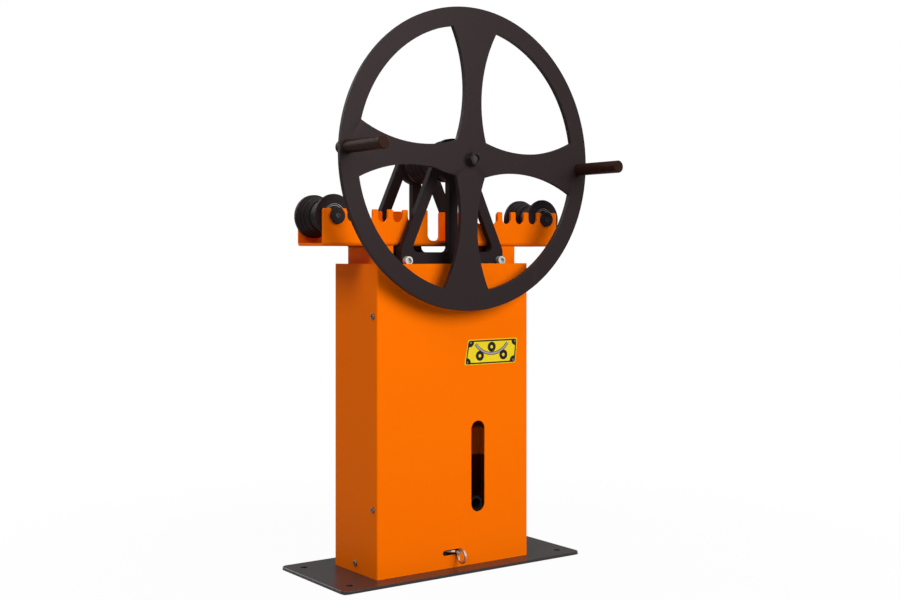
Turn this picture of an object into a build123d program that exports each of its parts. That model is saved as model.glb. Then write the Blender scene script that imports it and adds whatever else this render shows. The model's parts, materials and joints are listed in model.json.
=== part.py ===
from build123d import *
import math
import os

# Ring roller for bending bar and tube.
# X runs along the notched beam, Y from the handwheel side to the back, Z up.
# The origin is the centre of the base plate's underside. All lengths are in millimetres.
# The A-frame, the carriage, the rollers and the jack's ram stand about one upright plane
# that lies FRAME_Y behind the origin, and their Y positions are measured from that plane.

# ---- fits -------------------------------------------------------------------------------
RUNNING_FIT = 0.05          # radial gap of a shaft that turns or slides in its bore
SEAT_GAP = 0.05             # radial gap of a piece seated on another for good
FREE_GAP = 0.3              # gap between a sliding face and its guide
MOVING_GAP = 2.0            # gap beside a piece that passes a fixed one
HOLE_SPARE = 1.0            # a blind hole's depth beyond its screw's tip
TIP_GAP = 0.5               # from a screw's tip up to the base plate's underside

# ---- chamfers ---------------------------------------------------------------------------
FINE_EDGE = 0.3
SMALL_EDGE = 0.5
TURNED_EDGE = 0.8
BROAD_EDGE = 1.5

# ---- base plate -------------------------------------------------------------------------
BASE_LENGTH = 578.0
BASE_DEPTH = 250.0
BASE_THICKNESS = 6.0
BASE_CORNER = 14.0
FLOOR_BOLT_EDGE_X = 34.0      # from the plate's edge to the middle of a floor bolt
FLOOR_BOLT_EDGE_Y = 37.0
FLOOR_BOLT_HOLE = 14.0
PLATE_EDGE = 0.8            # chamfer along cut plates and bars

# ---- casing -----------------------------------------------------------------------------
CASE_WIDTH = 369.0
CASE_SHIFT_X = -7.5         # the casing stands a little to the left of the rollers
CASE_FRONT_Y = -86.0
CASE_BACK_Y = 71.5
CASE_TOP_Z = 613.0
SHEET = 2.0
CASE_BEND = 4.0
REAR_SHEET = 1.5
REAR_COVER_TOP_Z = 590.0
COVER_SCREW_Y = -71.5
COVER_SCREW_HEIGHTS = (139.0, 512.0)
LOW_SCREW_Y = -7.0
LOW_SCREW_Z = 24.3
REAR_SCREW_HEIGHTS = (120.0, 540.0)
REAR_SCREW_LENGTH = 16.0
REAR_COVER_CORNER = 3.0
FOOT_SCREW_INSET = 12.0     # from a side's inner face to the screw in the angle's foot
BRACKET_THICKNESS = 3.0
BRACKET_HEIGHT = 30.0
BRACKET_REACH = 8.5         # how far a bracket's flange runs past its screw
LOW_BRACKET_LENGTH = 36.0
LOW_BRACKET_HEIGHT = 34.0
LOW_BRACKET_FOOT = 20.0
STANDOFF_RADIUS = 8.0
SCREW_RADIUS = 3.0
SCREW_HEAD_RADIUS = 5.5
SCREW_HEAD_HEIGHT = 3.2
SCREW_LENGTH = 10.0
SCREW_SOCKET_RADIUS = 2.2
SOCKET_SHARE = 0.8          # a larger screw's socket radius over its thread's

# ---- A-frame ----------------------------------------------------------------------------
FRAME_Y = 3.5               # from the origin back to the frame's centre plane
SHAFT_Z = 820.0
PLATE_THICKNESS = 14.0
PLATE_GAP = 117.0           # clear width between the front and rear plates
HEAD_RADIUS = 45.0
FOOT_BOTTOM_Z = 598.0
SHOULDER_Z = 641.0          # where the sloping legs start
SILL_Z = 636.0              # lower edge of the windows
LEG_WIDTH = 24.5            # measured along X
CENTRE_BAR = 22.0
WINDOW_CORNER = 11.0
WINDOW_INTO_HEAD = 2.0      # how far the windows run inside the head's circle
UPRIGHT_WIDTH = 21.0
UPRIGHT_DEPTH = 28.0
FRAME_SCREW_Z = 619.0
FRAME_SCREW_RADIUS = 6.0
FRAME_SCREW_HEAD_RADIUS = 9.0
FRAME_SCREW_HEAD_HEIGHT = 12.0
FRAME_SCREW_SOCKET_RADIUS = 5.8
FRAME_SCREW_SOCKET_DEPTH = 6.0
FRAME_SCREW_PLAY = 0.5      # around the screw in the A-plate
FRAME_SCREW_GRIP = 22.0     # length of thread in the upright
PAD_HEIGHT = 40.0
PAD_HEIGHTS = (360.0, 580.0)
PAD_INSET = 2.0
PAD_EDGE = 1.5

# ---- notched beam and carriage ----------------------------------------------------------
BEAM_LENGTH = 577.0
BEAM_DEPTH = 100.0
BEAM_HEIGHT = 72.0
BEAM_BOTTOM_Z = 648.0
BEAM_WALL = 5.0
BEAM_BEND = 8.0
BEAM_END_CORNER = 4.0
NOTCH_FROM_END = 30.0       # from the beam's end to the outermost notch
NOTCH_PITCH = 35.0
MIN_TOOTH = 20.0            # width left between the innermost notch and the centre slot
NOTCH_RADIUS = 11.2
NOTCH_DEPTH = 25.2
NOTCH_LIP = 3.0
CENTRE_SLOT_WIDTH = 94.0
CENTRE_SLOT_DEPTH = 61.0
CENTRE_SLOT_CORNER = 12.0
COLUMN_WIDTH = 43.0
COLUMN_DEPTH = 110.0
COLUMN_WALL = 4.0
COLUMN_CORNER = 6.0
COLUMN_GAP = 5.0            # between an upright and the column beside it
CROSSHEAD_BOTTOM_Z = 216.0
CROSSHEAD_HEIGHT = 56.0
CROSSHEAD_WALL = 6.0
CHEEK_THICKNESS = 5.0
CHEEK_CORNER = 4.0

# ---- rollers ----------------------------------------------------------------------------
SLEEVE_RADIUS = 30.0
SLEEVE_FRONT_Y = -43.0
SLEEVE_BACK_Y = 43.0
SLEEVE_EDGE = 1.0
FLANGE_RADIUS = 42.0
FLANGE_WIDTH = 6.0
FLANGE_SETBACK = 1.0        # the sleeve stands this far proud of the flange
BACK_RING_RADIUS = 42.4
BACK_RING_WIDTH = 9.0
BACK_RING_SETBACK = 0.5
CONE_RADII = (40.4, 31.5)   # of the bevel in front of the back ring
CONE_LENGTH = 31.0
CONE_GROOVES = (8.0, 17.5)  # in front of the back ring
CONE_GROOVE_WIDTH = 1.6
CONE_GROOVE_DEPTH = 2.0
SIDE_BEARING_Y = 35.5
AXLE_SHOULDER_RADIUS = 13.0
AXLE_END_GAP = 0.5          # from the axle's end to the beam's wall
AXLE_CAP_RADIUS = 16.0
AXLE_CAP_THICKNESS = 5.0
AXLE_CAP_PROUD = 1.0        # from the beam's face to the back of the cap's head
AXLE_CAP_PLAY = 0.2         # radial gap between the cap's spigot and the notch
CAP_SCREW_RADIUS = 4.0
CAP_SCREW_HEAD_RADIUS = 5.5
CAP_SCREW_HEAD_HEIGHT = 3.5
CAP_SCREW_LENGTH = 25.0

# Bearings: bore radius, outer radius, width, inner race radius, outer race radius, balls
SIDE_BEARING = (10.0, 23.5, 14.0, 13.6, 20.0, 8)
SHAFT_BEARING = (12.5, 26.0, 15.0, 16.5, 22.0, 9)
SHIELD_THICKNESS = 0.6
SHIELD_RECESS = 0.8
SHIELD_LAP = 0.5            # how far a shield's edge is let into the outer race
SHOULDER_CLEARANCE = 1.0    # from a raceway out to the bore of the shoulder behind it

# ---- top shaft and handwheel ------------------------------------------------------------
SPACER_RADIUS = 17.0
REAR_COLLAR_RADIUS = 19.0
REAR_COLLAR_WIDTH = 10.0
SHAFT_REAR_PROUD = 2.0
SHAFT_FRONT_GAP = 0.5       # from the wheel's back to the shaft's front shoulder
GRUB_RADIUS = 2.5           # of the grub screw's hole in the rear collar
KEY_WIDTH = 8.0
KEY_HEIGHT = 7.0
KEY_SEAT = 4.0              # depth of the key's seat in the shaft
SLEEVE_KEY_LENGTH = 40.0
HUB_KEY_LENGTH = 26.0
WHEEL_RADIUS = 300.0
WHEEL_THICKNESS = 10.0
WHEEL_BACK_Y = -123.5
WHEEL_TURN = 2.3            # degrees clockwise, seen from the front
WHEEL_EDGE = 0.6
RIM_INNER_RADIUS = 262.5
SPOKE_END_HALF = 53.5       # half a spoke's width where it meets the rim
SPOKE_WAIST_HALF = 20.5
SPOKE_WAIST_RADIUS = 126.0
HUB_CORNER_HALF = 35.0
WHEEL_HUB_RADIUS = 24.0
WHEEL_HUB_LENGTH = 44.0
STUD_RADIUS = 8.0
STUD_LENGTH = 12.0          # in front of the wheel
WASHER_RADIUS = 15.0
WASHER_THICKNESS = 3.0
NUT_ACROSS_FLATS = 24.0
NUT_HEIGHT = 13.0
NUT_EDGE = 1.2
HANDLE_RADIUS = 12.5
HANDLE_LENGTH = 127.0
HANDLE_TAIL = 15.0
HANDLE_CHAMFER = 2.0
LEFT_HANDLE_REACH = 285.0   # from the shaft's axis
RIGHT_HANDLE_REACH = 277.0

# ---- hydraulic jack ---------------------------------------------------------------------
JACK_BASE_X = (-44.0, 66.0)
JACK_BASE_Y = (-60.0, 44.0)
JACK_BASE_HEIGHT = 30.0
JACK_BASE_CORNER = 10.0
JACK_BASE_EDGE = 2.0
RESERVOIR_RADIUS = 34.0
RESERVOIR_WALL = 3.5
CYLINDER_RADIUS = 22.0
CYLINDER_TOP_Z = 150.0
TOP_CAP_HEIGHT = 15.0
SPANNER_NOTCHES = 4
SPANNER_NOTCH_RADIUS = 4.0
SPANNER_NOTCH_FLOOR = 5.0   # above the cap's underside
RAM_RADIUS = 15.0
RAM_BOTTOM_Z = 68.0
SADDLE_RADIUS = 22.0
SADDLE_HEIGHT = 12.0
SADDLE_SCREW_RADIUS = 9.0
SADDLE_SCREW_LENGTH = 24.0
JACK_SCREWS = ((-34.0, 34.0), (56.0, 34.0), (56.0, -4.0), (-34.0, -50.0))
JACK_SCREW_RADIUS = 4.0
JACK_SCREW_HEAD_RADIUS = 6.5
JACK_SCREW_HEAD_HEIGHT = 8.0
PUMP_X = 49.0
PUMP_Y = -47.0
PUMP_ARM = 20.0             # from the fulcrum pin back to the plunger pin
PUMP_PIN_Z = 126.0
PUMP_SWING = 40.0           # degrees
BARREL_RADIUS = 11.0
BARREL_HEIGHT = 52.0
BARREL_GROOVE = (12.0, 10.0)    # below the barrel's top
BARREL_GROOVE_DEPTH = 1.2
PLUNGER_RADIUS = 6.0
PLUNGER_BOTTOM_Z = 44.0
PLUNGER_TOP = 7.0           # above its pin
PIN_RADIUS = 4.0
PIN_PROUD = 0.7
POST_WIDTH = 16.0
POST_DEPTH = 16.0
POST_TOP = 9.0
POST_ROUND = 7.5
FORK_THICKNESS = 5.0
FORK_GAP = 1.3
FORK_HALF_HEIGHT = 13.0
FORK_WINDOW_HALF = 5.4      # half the height of the plunger pin's window
FORK_REACH = 36.5           # from the fulcrum pin to the bridge between the cheeks
FORK_BRIDGE = 4.0
SOCKET_RADIUS = 15.0
SOCKET_BORE = 11.0
SOCKET_MOUTH_Y = -80.0
PUMP_SLOT_WIDTH = 34.0
PUMP_SLOT_Z = (111.0, 295.0)

# ---- release valve ----------------------------------------------------------------------
VALVE_X = -30.0
VALVE_Y = -67.0
VALVE_BODY_WIDTH = 24.0
VALVE_BODY_REACH = 9.0      # in front of the spindle
VALVE_BODY_CORNER = 6.0
VALVE_BODY_BOTTOM = 10.0
VALVE_BORE_FLOOR = 5.0      # above the body's underside
VALVE_PIN_LIFT = 1.0        # above the bore's floor
VALVE_PIN_RADIUS = 3.5
RELEASE_Z = 37.6
RELEASE_HUB_RADIUS = 7.0
RELEASE_HUB_HEIGHT = 7.0
RELEASE_HUB_LIFT = 0.1      # above the valve body
RELEASE_ROD_RADIUS = 3.0
RELEASE_REACH = 36.0
RELEASE_ANGLE = -45.0       # direction of the lever from +X
EYE_RADIUS = 8.0
EYE_THICKNESS = 3.5
EYE_HOLE = 4.6
EYE_ROD_GAP = 2.0           # from the lever's rod to the hole in the eye
PULL_RING_RADIUS = 12.8
PULL_RING_WIRE = 2.2
PULL_RING_DROP = 33.0       # degrees that the ring hangs below level
PULL_RING_SEAM = (0.4, 0.8)     # width and depth of the groove between its turns
RELEASE_SLOT_X = (-38.0, 9.0)
RELEASE_SLOT_Z = (31.2, 42.2)

# ---- return springs ---------------------------------------------------------------------
SPRING_FROM_JACK = 14.0     # from the jack base's side to the spring's axis
SPRING_WIRE = 1.2
SPRING_RADIUS = 7.8
SPRING_TURNS = 22
SPRING_STUD_RADIUS = 6.0
SPRING_STUD_LENGTH = 20.0
SPRING_END_GAP = 0.3

# ---- name plate -------------------------------------------------------------------------
BADGE_TOP = (24.0, 149.5)
BADGE_BOTTOM = (14.0, 144.0)
BADGE_Z = (408.0, 459.0)
BADGE_THICKNESS = 1.0
BADGE_CORNER = 4.0
RIVET_RADIUS = 1.5
RIVET_HEAD_RADIUS = 2.5
RIVET_INSET = 6.0
RIVET_SLANT = 1.0           # further inwards at the two sharp corners
RIVET_HEAD_HEIGHT = 1.0
RIVET_TAIL = 1.0            # behind the casing's sheet

# ---- places worked out from the sizes above ---------------------------------------------
CASE_X = (CASE_SHIFT_X - CASE_WIDTH / 2, CASE_SHIFT_X + CASE_WIDTH / 2)
FLOOR_BOLT_X = BASE_LENGTH / 2 - FLOOR_BOLT_EDGE_X
FLOOR_BOLT_Y = BASE_DEPTH / 2 - FLOOR_BOLT_EDGE_Y
COLUMN_OUTER_X = CASE_X[1] - SHEET - MOVING_GAP
COLUMN_INNER_X = COLUMN_OUTER_X - COLUMN_WIDTH
FOOT_HALF_WIDTH = COLUMN_INNER_X - COLUMN_GAP
PLATE_INNER_Y = PLATE_GAP / 2
PLATE_OUTER_Y = PLATE_INNER_Y + PLATE_THICKNESS
FRAME_FRONT_Y = FRAME_Y - PLATE_INNER_Y     # front of the uprights, from the origin
FRAME_BACK_Y = FRAME_Y + PLATE_INNER_Y
UPRIGHT_X = (FOOT_HALF_WIDTH - UPRIGHT_WIDTH, FOOT_HALF_WIDTH)
UPRIGHT_Y = (PLATE_INNER_Y - UPRIGHT_DEPTH, PLATE_INNER_Y)
FRAME_SCREW_X = FOOT_HALF_WIDTH - UPRIGHT_WIDTH / 2
BEAM_TOP_Z = BEAM_BOTTOM_Z + BEAM_HEIGHT
BEAM_HALF_DEPTH = BEAM_DEPTH / 2
NOTCH_CENTRE_Z = BEAM_TOP_Z - NOTCH_DEPTH + NOTCH_RADIUS
AXLE_X = BEAM_LENGTH / 2 - NOTCH_FROM_END
AXLE_END_Y = BEAM_HALF_DEPTH - BEAM_WALL - AXLE_END_GAP
INNER_NOTCH_LIMIT = CENTRE_SLOT_WIDTH / 2 + MIN_TOOTH + NOTCH_RADIUS
NOTCH_COUNT = int((AXLE_X - INNER_NOTCH_LIMIT) / NOTCH_PITCH) + 1
SHAFT_RADIUS = SHAFT_BEARING[0]
SHAFT_BEARING_Y = (PLATE_INNER_Y + PLATE_OUTER_Y) / 2
WHEEL_FRONT_Y = WHEEL_BACK_Y - WHEEL_THICKNESS
JACK_TOP_Z = BASE_THICKNESS + JACK_BASE_HEIGHT
FULCRUM_Y = PUMP_Y + PUMP_ARM
HUB_BACK_Y = WHEEL_BACK_Y + WHEEL_HUB_LENGTH
SHAFT_REAR_Y = SHAFT_BEARING_Y + SHAFT_BEARING[2] / 2 + REAR_COLLAR_WIDTH + SHAFT_REAR_PROUD
CROSSHEAD_TOP_Z = CROSSHEAD_BOTTOM_Z + CROSSHEAD_HEIGHT
KEYS = ((0.0, SLEEVE_KEY_LENGTH), ((WHEEL_BACK_Y + HUB_BACK_Y) / 2, HUB_KEY_LENGTH))
FORK_INNER = POST_WIDTH / 2 + FORK_GAP
FORK_OUTER = FORK_INNER + FORK_THICKNESS
SPRING_X = JACK_BASE_X[1] + SPRING_FROM_JACK
VALVE_BODY_TOP = RELEASE_Z - RELEASE_HUB_HEIGHT / 2 - RELEASE_HUB_LIFT
RELEASE_ROD_LENGTH = RELEASE_REACH - EYE_HOLE - EYE_ROD_GAP
EYE_PLACE = (
    VALVE_X + RELEASE_REACH * math.cos(math.radians(RELEASE_ANGLE)),
    VALVE_Y + RELEASE_REACH * math.sin(math.radians(RELEASE_ANGLE)),
)
HANDLE_PLACES = tuple(
    (
        reach * math.cos(math.radians(degrees - WHEEL_TURN)),
        SHAFT_Z + reach * math.sin(math.radians(degrees - WHEEL_TURN)),
    )
    for reach, degrees in ((LEFT_HANDLE_REACH, 180), (RIGHT_HANDLE_REACH, 0))
)
FOOT_SCREW_X = (CASE_X[0] + SHEET + FOOT_SCREW_INSET, CASE_X[1] - SHEET - FOOT_SCREW_INSET)
REAR_SCREW_PLACES = [(x, z) for x in (-FRAME_SCREW_X, FRAME_SCREW_X) for z in REAR_SCREW_HEIGHTS]
BADGE_RIVETS = (
    (BADGE_BOTTOM[0] + RIVET_INSET + RIVET_SLANT, BADGE_Z[0] + RIVET_INSET),
    (BADGE_BOTTOM[1] - RIVET_INSET, BADGE_Z[0] + RIVET_INSET),
    (BADGE_TOP[1] - RIVET_INSET - RIVET_SLANT, BADGE_Z[1] - RIVET_INSET),
    (BADGE_TOP[0] + RIVET_INSET, BADGE_Z[1] - RIVET_INSET),
)
SIDES = (("left", -1), ("right", 1))


# ---- shapes -----------------------------------------------------------------------------
def block(x_span, y_span, z_span):
    """Box between two corners."""
    spans = (x_span, y_span, z_span)
    size = [abs(high - low) for low, high in spans]
    centre = [(low + high) / 2 for low, high in spans]
    return Pos(*centre) * Box(*size)


def rod(axis, radius, span, at, edge=0.0):
    """Cylinder along X, Y or Z over span; at gives its other two coordinates in order."""
    low, high = min(span), max(span)
    solid = Cylinder(radius, high - low)
    if edge:
        solid = chamfer(solid.edges().filter_by(GeomType.CIRCLE), edge)
    middle = (low + high) / 2
    if axis == "X":
        return Pos(middle, at[0], at[1]) * Rotation(0, 90, 0) * solid
    if axis == "Y":
        return Pos(at[0], middle, at[1]) * Rotation(90, 0, 0) * solid
    return Pos(at[0], at[1], middle) * solid


def tube(axis, outer, inner, span, at, edge=0.0):
    """Hollow cylinder, open at both ends."""
    low, high = min(span), max(span)
    return rod(axis, outer, span, at, edge) - rod(axis, inner, (low - 1, high + 1), at)


def group(solids):
    """Several separate solids in one node."""
    return Compound(children=list(solids))


def plate_xz(face, front_y, back_y):
    """Extrude a face drawn in X and Z into a plate between two Y positions."""
    lifted = Plane.XZ * face
    solid = extrude(lifted, amount=back_y - front_y, dir=(0, 1, 0))
    return Pos(0, front_y, 0) * solid


def hex_prism_y(across_flats, span, at):
    """Hexagonal prism along Y with two flats level."""
    face = RegularPolygon(across_flats / 2, 6, major_radius=False, rotation=0)
    return Pos(at[0], 0, at[1]) * plate_xz(face, min(span), max(span))


def mirrored(solid, side):
    """The right-hand solid, or its mirror image on the left."""
    return solid if side > 0 else mirror(solid, about=Plane.YZ)


def screw(axis, head_at, direction, radius, head_radius, head_height, length, at, socket):
    """Round-headed socket screw; the head's underside is at head_at."""
    head_end = head_at - direction * head_height
    head = rod(axis, head_radius, (head_at, head_end), at, SMALL_EDGE)
    depth = head_height / 2
    recess = rod(axis, socket, (head_end - direction, head_end + direction * depth), at)
    shank = rod(axis, radius, (head_at, head_at + direction * length), at)
    return head + shank - recess


# ---- base, casing and covers ------------------------------------------------------------
def base_plate():
    plate = block(
        (-BASE_LENGTH / 2, BASE_LENGTH / 2), (-BASE_DEPTH / 2, BASE_DEPTH / 2), (0, BASE_THICKNESS)
    )
    plate = fillet(plate.edges().filter_by(Axis.Z), BASE_CORNER)
    plate = chamfer(plate.faces().sort_by(Axis.Z)[-1].edges(), PLATE_EDGE)
    through = (-1, BASE_THICKNESS + 1)
    for x in (-FLOOR_BOLT_X, FLOOR_BOLT_X):
        for y in (-FLOOR_BOLT_Y, FLOOR_BOLT_Y):
            plate -= rod("Z", FLOOR_BOLT_HOLE / 2, through, (x, y))
    for at in JACK_SCREWS:
        plate -= rod("Z", JACK_SCREW_RADIUS + SEAT_GAP, through, at)
    for x in FOOT_SCREW_X:
        plate -= rod("Z", SCREW_RADIUS + SEAT_GAP, through, (x, LOW_SCREW_Y))
    return plate


def casing_cover():
    """Folded front and sides, open at the back and the top."""
    heights = (BASE_THICKNESS, CASE_TOP_Z)
    outside = block(CASE_X, (CASE_FRONT_Y, CASE_BACK_Y), heights)
    outside = fillet(outside.edges().filter_by(Axis.Z).group_by(Axis.Y)[0], CASE_BEND)
    inner_x = (CASE_X[0] + SHEET, CASE_X[1] - SHEET)
    inside = block(inner_x, (CASE_FRONT_Y + SHEET, CASE_BACK_Y + 1), (0, CASE_TOP_Z + 1))
    inside = fillet(inside.edges().filter_by(Axis.Z).group_by(Axis.Y)[0], CASE_BEND - SHEET)
    cover = outside - inside
    front = (CASE_FRONT_Y - 1, CASE_FRONT_Y + SHEET + 1)
    half = PUMP_SLOT_WIDTH / 2
    cover -= slot_y("Z", PUMP_SLOT_Z, half, front, PUMP_X)
    slot_half = (RELEASE_SLOT_Z[1] - RELEASE_SLOT_Z[0]) / 2
    slot_middle = (RELEASE_SLOT_Z[0] + RELEASE_SLOT_Z[1]) / 2
    cover -= slot_y("X", RELEASE_SLOT_X, slot_half, front, slot_middle)
    for side in (0, 1):
        through = (CASE_X[side] - SHEET - 1, CASE_X[side] + SHEET + 1)
        for z in COVER_SCREW_HEIGHTS:
            cover -= rod("X", SCREW_RADIUS + SEAT_GAP, through, (COVER_SCREW_Y, z))
        cover -= rod("X", SCREW_RADIUS + SEAT_GAP, through, (LOW_SCREW_Y, LOW_SCREW_Z))
    for at in BADGE_RIVETS:
        cover -= rod("Y", RIVET_RADIUS + SEAT_GAP, front, at)
    return cover


def slot_y(along, span, half, depth, middle):
    """Round-ended slot cut through along Y, running along X or Z."""
    ends = (span[0] + half, span[1] - half)
    if along == "Z":
        straight = block((middle - half, middle + half), depth, ends)
        rounds = [rod("Y", half, depth, (middle, end)) for end in ends]
    else:
        straight = block(ends, depth, (middle - half, middle + half))
        rounds = [rod("Y", half, depth, (end, middle)) for end in ends]
    return straight + rounds[0] + rounds[1]


def rear_cover():
    span = (CASE_X[0] + SHEET + FREE_GAP, CASE_X[1] - SHEET - FREE_GAP)
    cover = block(span, (CASE_BACK_Y - REAR_SHEET, CASE_BACK_Y), (BASE_THICKNESS, REAR_COVER_TOP_Z))
    cover = fillet(cover.edges().filter_by(Axis.Y).group_by(Axis.Z)[-1], REAR_COVER_CORNER)
    through = (CASE_BACK_Y - REAR_SHEET - 1, CASE_BACK_Y + 1)
    for at in REAR_SCREW_PLACES:
        cover -= rod("Y", SCREW_RADIUS + SEAT_GAP, through, at)
    return cover


def cover_brackets():
    """Four strips from the front uprights to the sides, and two angles on the base."""
    solids = []
    front = FRAME_FRONT_Y
    through = (front - BRACKET_THICKNESS - 1, front + 1)
    half = BRACKET_HEIGHT / 2
    for index, side in enumerate((-1, 1)):
        wall = CASE_X[index] - side * SHEET
        hole = (wall - BRACKET_THICKNESS - 1, wall + BRACKET_THICKNESS + 1)
        for z in COVER_SCREW_HEIGHTS:
            heights = (z - half, z + half)
            inner = side * UPRIGHT_X[0]
            strip = block((inner, wall), (front - BRACKET_THICKNESS, front), heights)
            flange_y = (COVER_SCREW_Y - BRACKET_REACH, front)
            flange = block((wall - side * BRACKET_THICKNESS, wall), flange_y, heights)
            bracket = strip + flange
            bracket -= rod("X", SCREW_RADIUS + SEAT_GAP, hole, (COVER_SCREW_Y, z))
            place = (side * FRAME_SCREW_X, z)
            bracket -= rod("Y", SCREW_RADIUS + SEAT_GAP, through, place)
            solids.append(bracket)
        length = (LOW_SCREW_Y - LOW_BRACKET_LENGTH / 2, LOW_SCREW_Y + LOW_BRACKET_LENGTH / 2)
        low, high = BASE_THICKNESS, BASE_THICKNESS + LOW_BRACKET_HEIGHT
        angle = block((wall - side * BRACKET_THICKNESS, wall), length, (low, high))
        angle += block((wall - side * LOW_BRACKET_FOOT, wall), length, (low, low + BRACKET_THICKNESS))
        angle -= rod("X", SCREW_RADIUS + SEAT_GAP, hole, (LOW_SCREW_Y, LOW_SCREW_Z))
        place = (FOOT_SCREW_X[index], LOW_SCREW_Y)
        angle -= rod("Z", SCREW_RADIUS + SEAT_GAP, (low - 1, low + BRACKET_THICKNESS + 1), place)
        solids.append(angle)
    return group(solids)


def cover_standoffs():
    span = (FRAME_BACK_Y, CASE_BACK_Y - REAR_SHEET)
    radii = (STANDOFF_RADIUS, SCREW_RADIUS + SEAT_GAP)
    return group([tube("Y", *radii, span, at, SMALL_EDGE) for at in REAR_SCREW_PLACES])


def small_screw(axis, head_at, direction, at, length=SCREW_LENGTH):
    return screw(
        axis, head_at, direction, SCREW_RADIUS, SCREW_HEAD_RADIUS, SCREW_HEAD_HEIGHT,
        length, at, SCREW_SOCKET_RADIUS,
    )


def cover_screws():
    solids = []
    strip_front = FRAME_FRONT_Y - BRACKET_THICKNESS
    for index, side in enumerate((-1, 1)):
        for z in COVER_SCREW_HEIGHTS:
            solids.append(small_screw("X", CASE_X[index], -side, (COVER_SCREW_Y, z)))
            solids.append(small_screw("Y", strip_front, 1, (side * FRAME_SCREW_X, z)))
        solids.append(small_screw("X", CASE_X[index], -side, (LOW_SCREW_Y, LOW_SCREW_Z)))
        foot_top = BASE_THICKNESS + BRACKET_THICKNESS
        place = (FOOT_SCREW_X[index], LOW_SCREW_Y)
        solids.append(small_screw("Z", foot_top, -1, place, foot_top - TIP_GAP))
    for at in REAR_SCREW_PLACES:
        solids.append(small_screw("Y", CASE_BACK_Y, -1, at, REAR_SCREW_LENGTH))
    return group(solids)


def badge_plate():
    corners = (
        (BADGE_BOTTOM[0], BADGE_Z[0]), (BADGE_BOTTOM[1], BADGE_Z[0]),
        (BADGE_TOP[1], BADGE_Z[1]), (BADGE_TOP[0], BADGE_Z[1]),
    )
    face = make_face(Polyline(*corners, close=True))
    face = fillet(face.vertices(), BADGE_CORNER)
    plate = plate_xz(face, CASE_FRONT_Y - BADGE_THICKNESS, CASE_FRONT_Y)
    for at in BADGE_RIVETS:
        plate -= rod("Y", RIVET_RADIUS + SEAT_GAP, (CASE_FRONT_Y - 2, CASE_FRONT_Y + 1), at)
    return plate


def badge_rivets():
    face_y = CASE_FRONT_Y - BADGE_THICKNESS
    back_y = CASE_FRONT_Y + SHEET + RIVET_TAIL
    solids = []
    for at in BADGE_RIVETS:
        head = rod("Y", RIVET_HEAD_RADIUS, (face_y - RIVET_HEAD_HEIGHT, face_y), at, FINE_EDGE)
        solids.append(head + rod("Y", RIVET_RADIUS, (face_y, back_y), at))
    return group(solids)


# ---- A-frame, uprights and guides -------------------------------------------------------
def a_plate_face():
    """Outline of an A-plate in X and Z."""
    outline = make_face(Polyline(
        (-FOOT_HALF_WIDTH, FOOT_BOTTOM_Z), (FOOT_HALF_WIDTH, FOOT_BOTTOM_Z),
        (FOOT_HALF_WIDTH, SHOULDER_Z), (HEAD_RADIUS, SHAFT_Z),
        (-HEAD_RADIUS, SHAFT_Z), (-FOOT_HALF_WIDTH, SHOULDER_Z), close=True,
    ))
    face = outline + Pos(0, SHAFT_Z) * Circle(HEAD_RADIUS)
    slope = (FOOT_HALF_WIDTH - HEAD_RADIUS) / (SHAFT_Z - SHOULDER_Z)
    leg = FOOT_HALF_WIDTH - LEG_WIDTH
    sill_x = leg + (SHOULDER_Z - SILL_Z) * slope
    window = make_face(Polyline(
        (CENTRE_BAR / 2, SILL_Z), (sill_x, SILL_Z), (HEAD_RADIUS - LEG_WIDTH, SHAFT_Z),
        (CENTRE_BAR / 2, SHAFT_Z), close=True,
    ))
    window = window - Pos(0, SHAFT_Z) * Circle(HEAD_RADIUS - WINDOW_INTO_HEAD)
    window = fillet(window.vertices().group_by(Axis.Y)[0], WINDOW_CORNER)
    for side in (-1, 1):
        face -= mirrored(window, side)
        face -= Pos(side * FRAME_SCREW_X, FRAME_SCREW_Z) * Circle(FRAME_SCREW_RADIUS + FRAME_SCREW_PLAY)
    return face - Pos(0, SHAFT_Z) * Circle(SHAFT_BEARING[1] + SEAT_GAP)


def a_plate(side):
    near, far = sorted((side * PLATE_INNER_Y, side * PLATE_OUTER_Y))
    return plate_xz(a_plate_face(), near, far)


def a_plate_screws():
    solids = []
    for side in (-1, 1):
        for x in (-FRAME_SCREW_X, FRAME_SCREW_X):
            face_y = side * PLATE_OUTER_Y
            length = PLATE_THICKNESS + FRAME_SCREW_GRIP
            bolt = rod("Y", FRAME_SCREW_RADIUS, (face_y, face_y - side * length), (x, FRAME_SCREW_Z))
            head_end = face_y + side * FRAME_SCREW_HEAD_HEIGHT
            head = (face_y, head_end)
            bolt += rod("Y", FRAME_SCREW_HEAD_RADIUS, head, (x, FRAME_SCREW_Z), TURNED_EDGE)
            recess_end = head_end - side * FRAME_SCREW_SOCKET_DEPTH
            flats = FRAME_SCREW_SOCKET_RADIUS * math.sqrt(3)
            bolt -= hex_prism_y(flats, (head_end + side, recess_end), (x, FRAME_SCREW_Z))
            solids.append(bolt)
    return group(solids)


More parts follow.
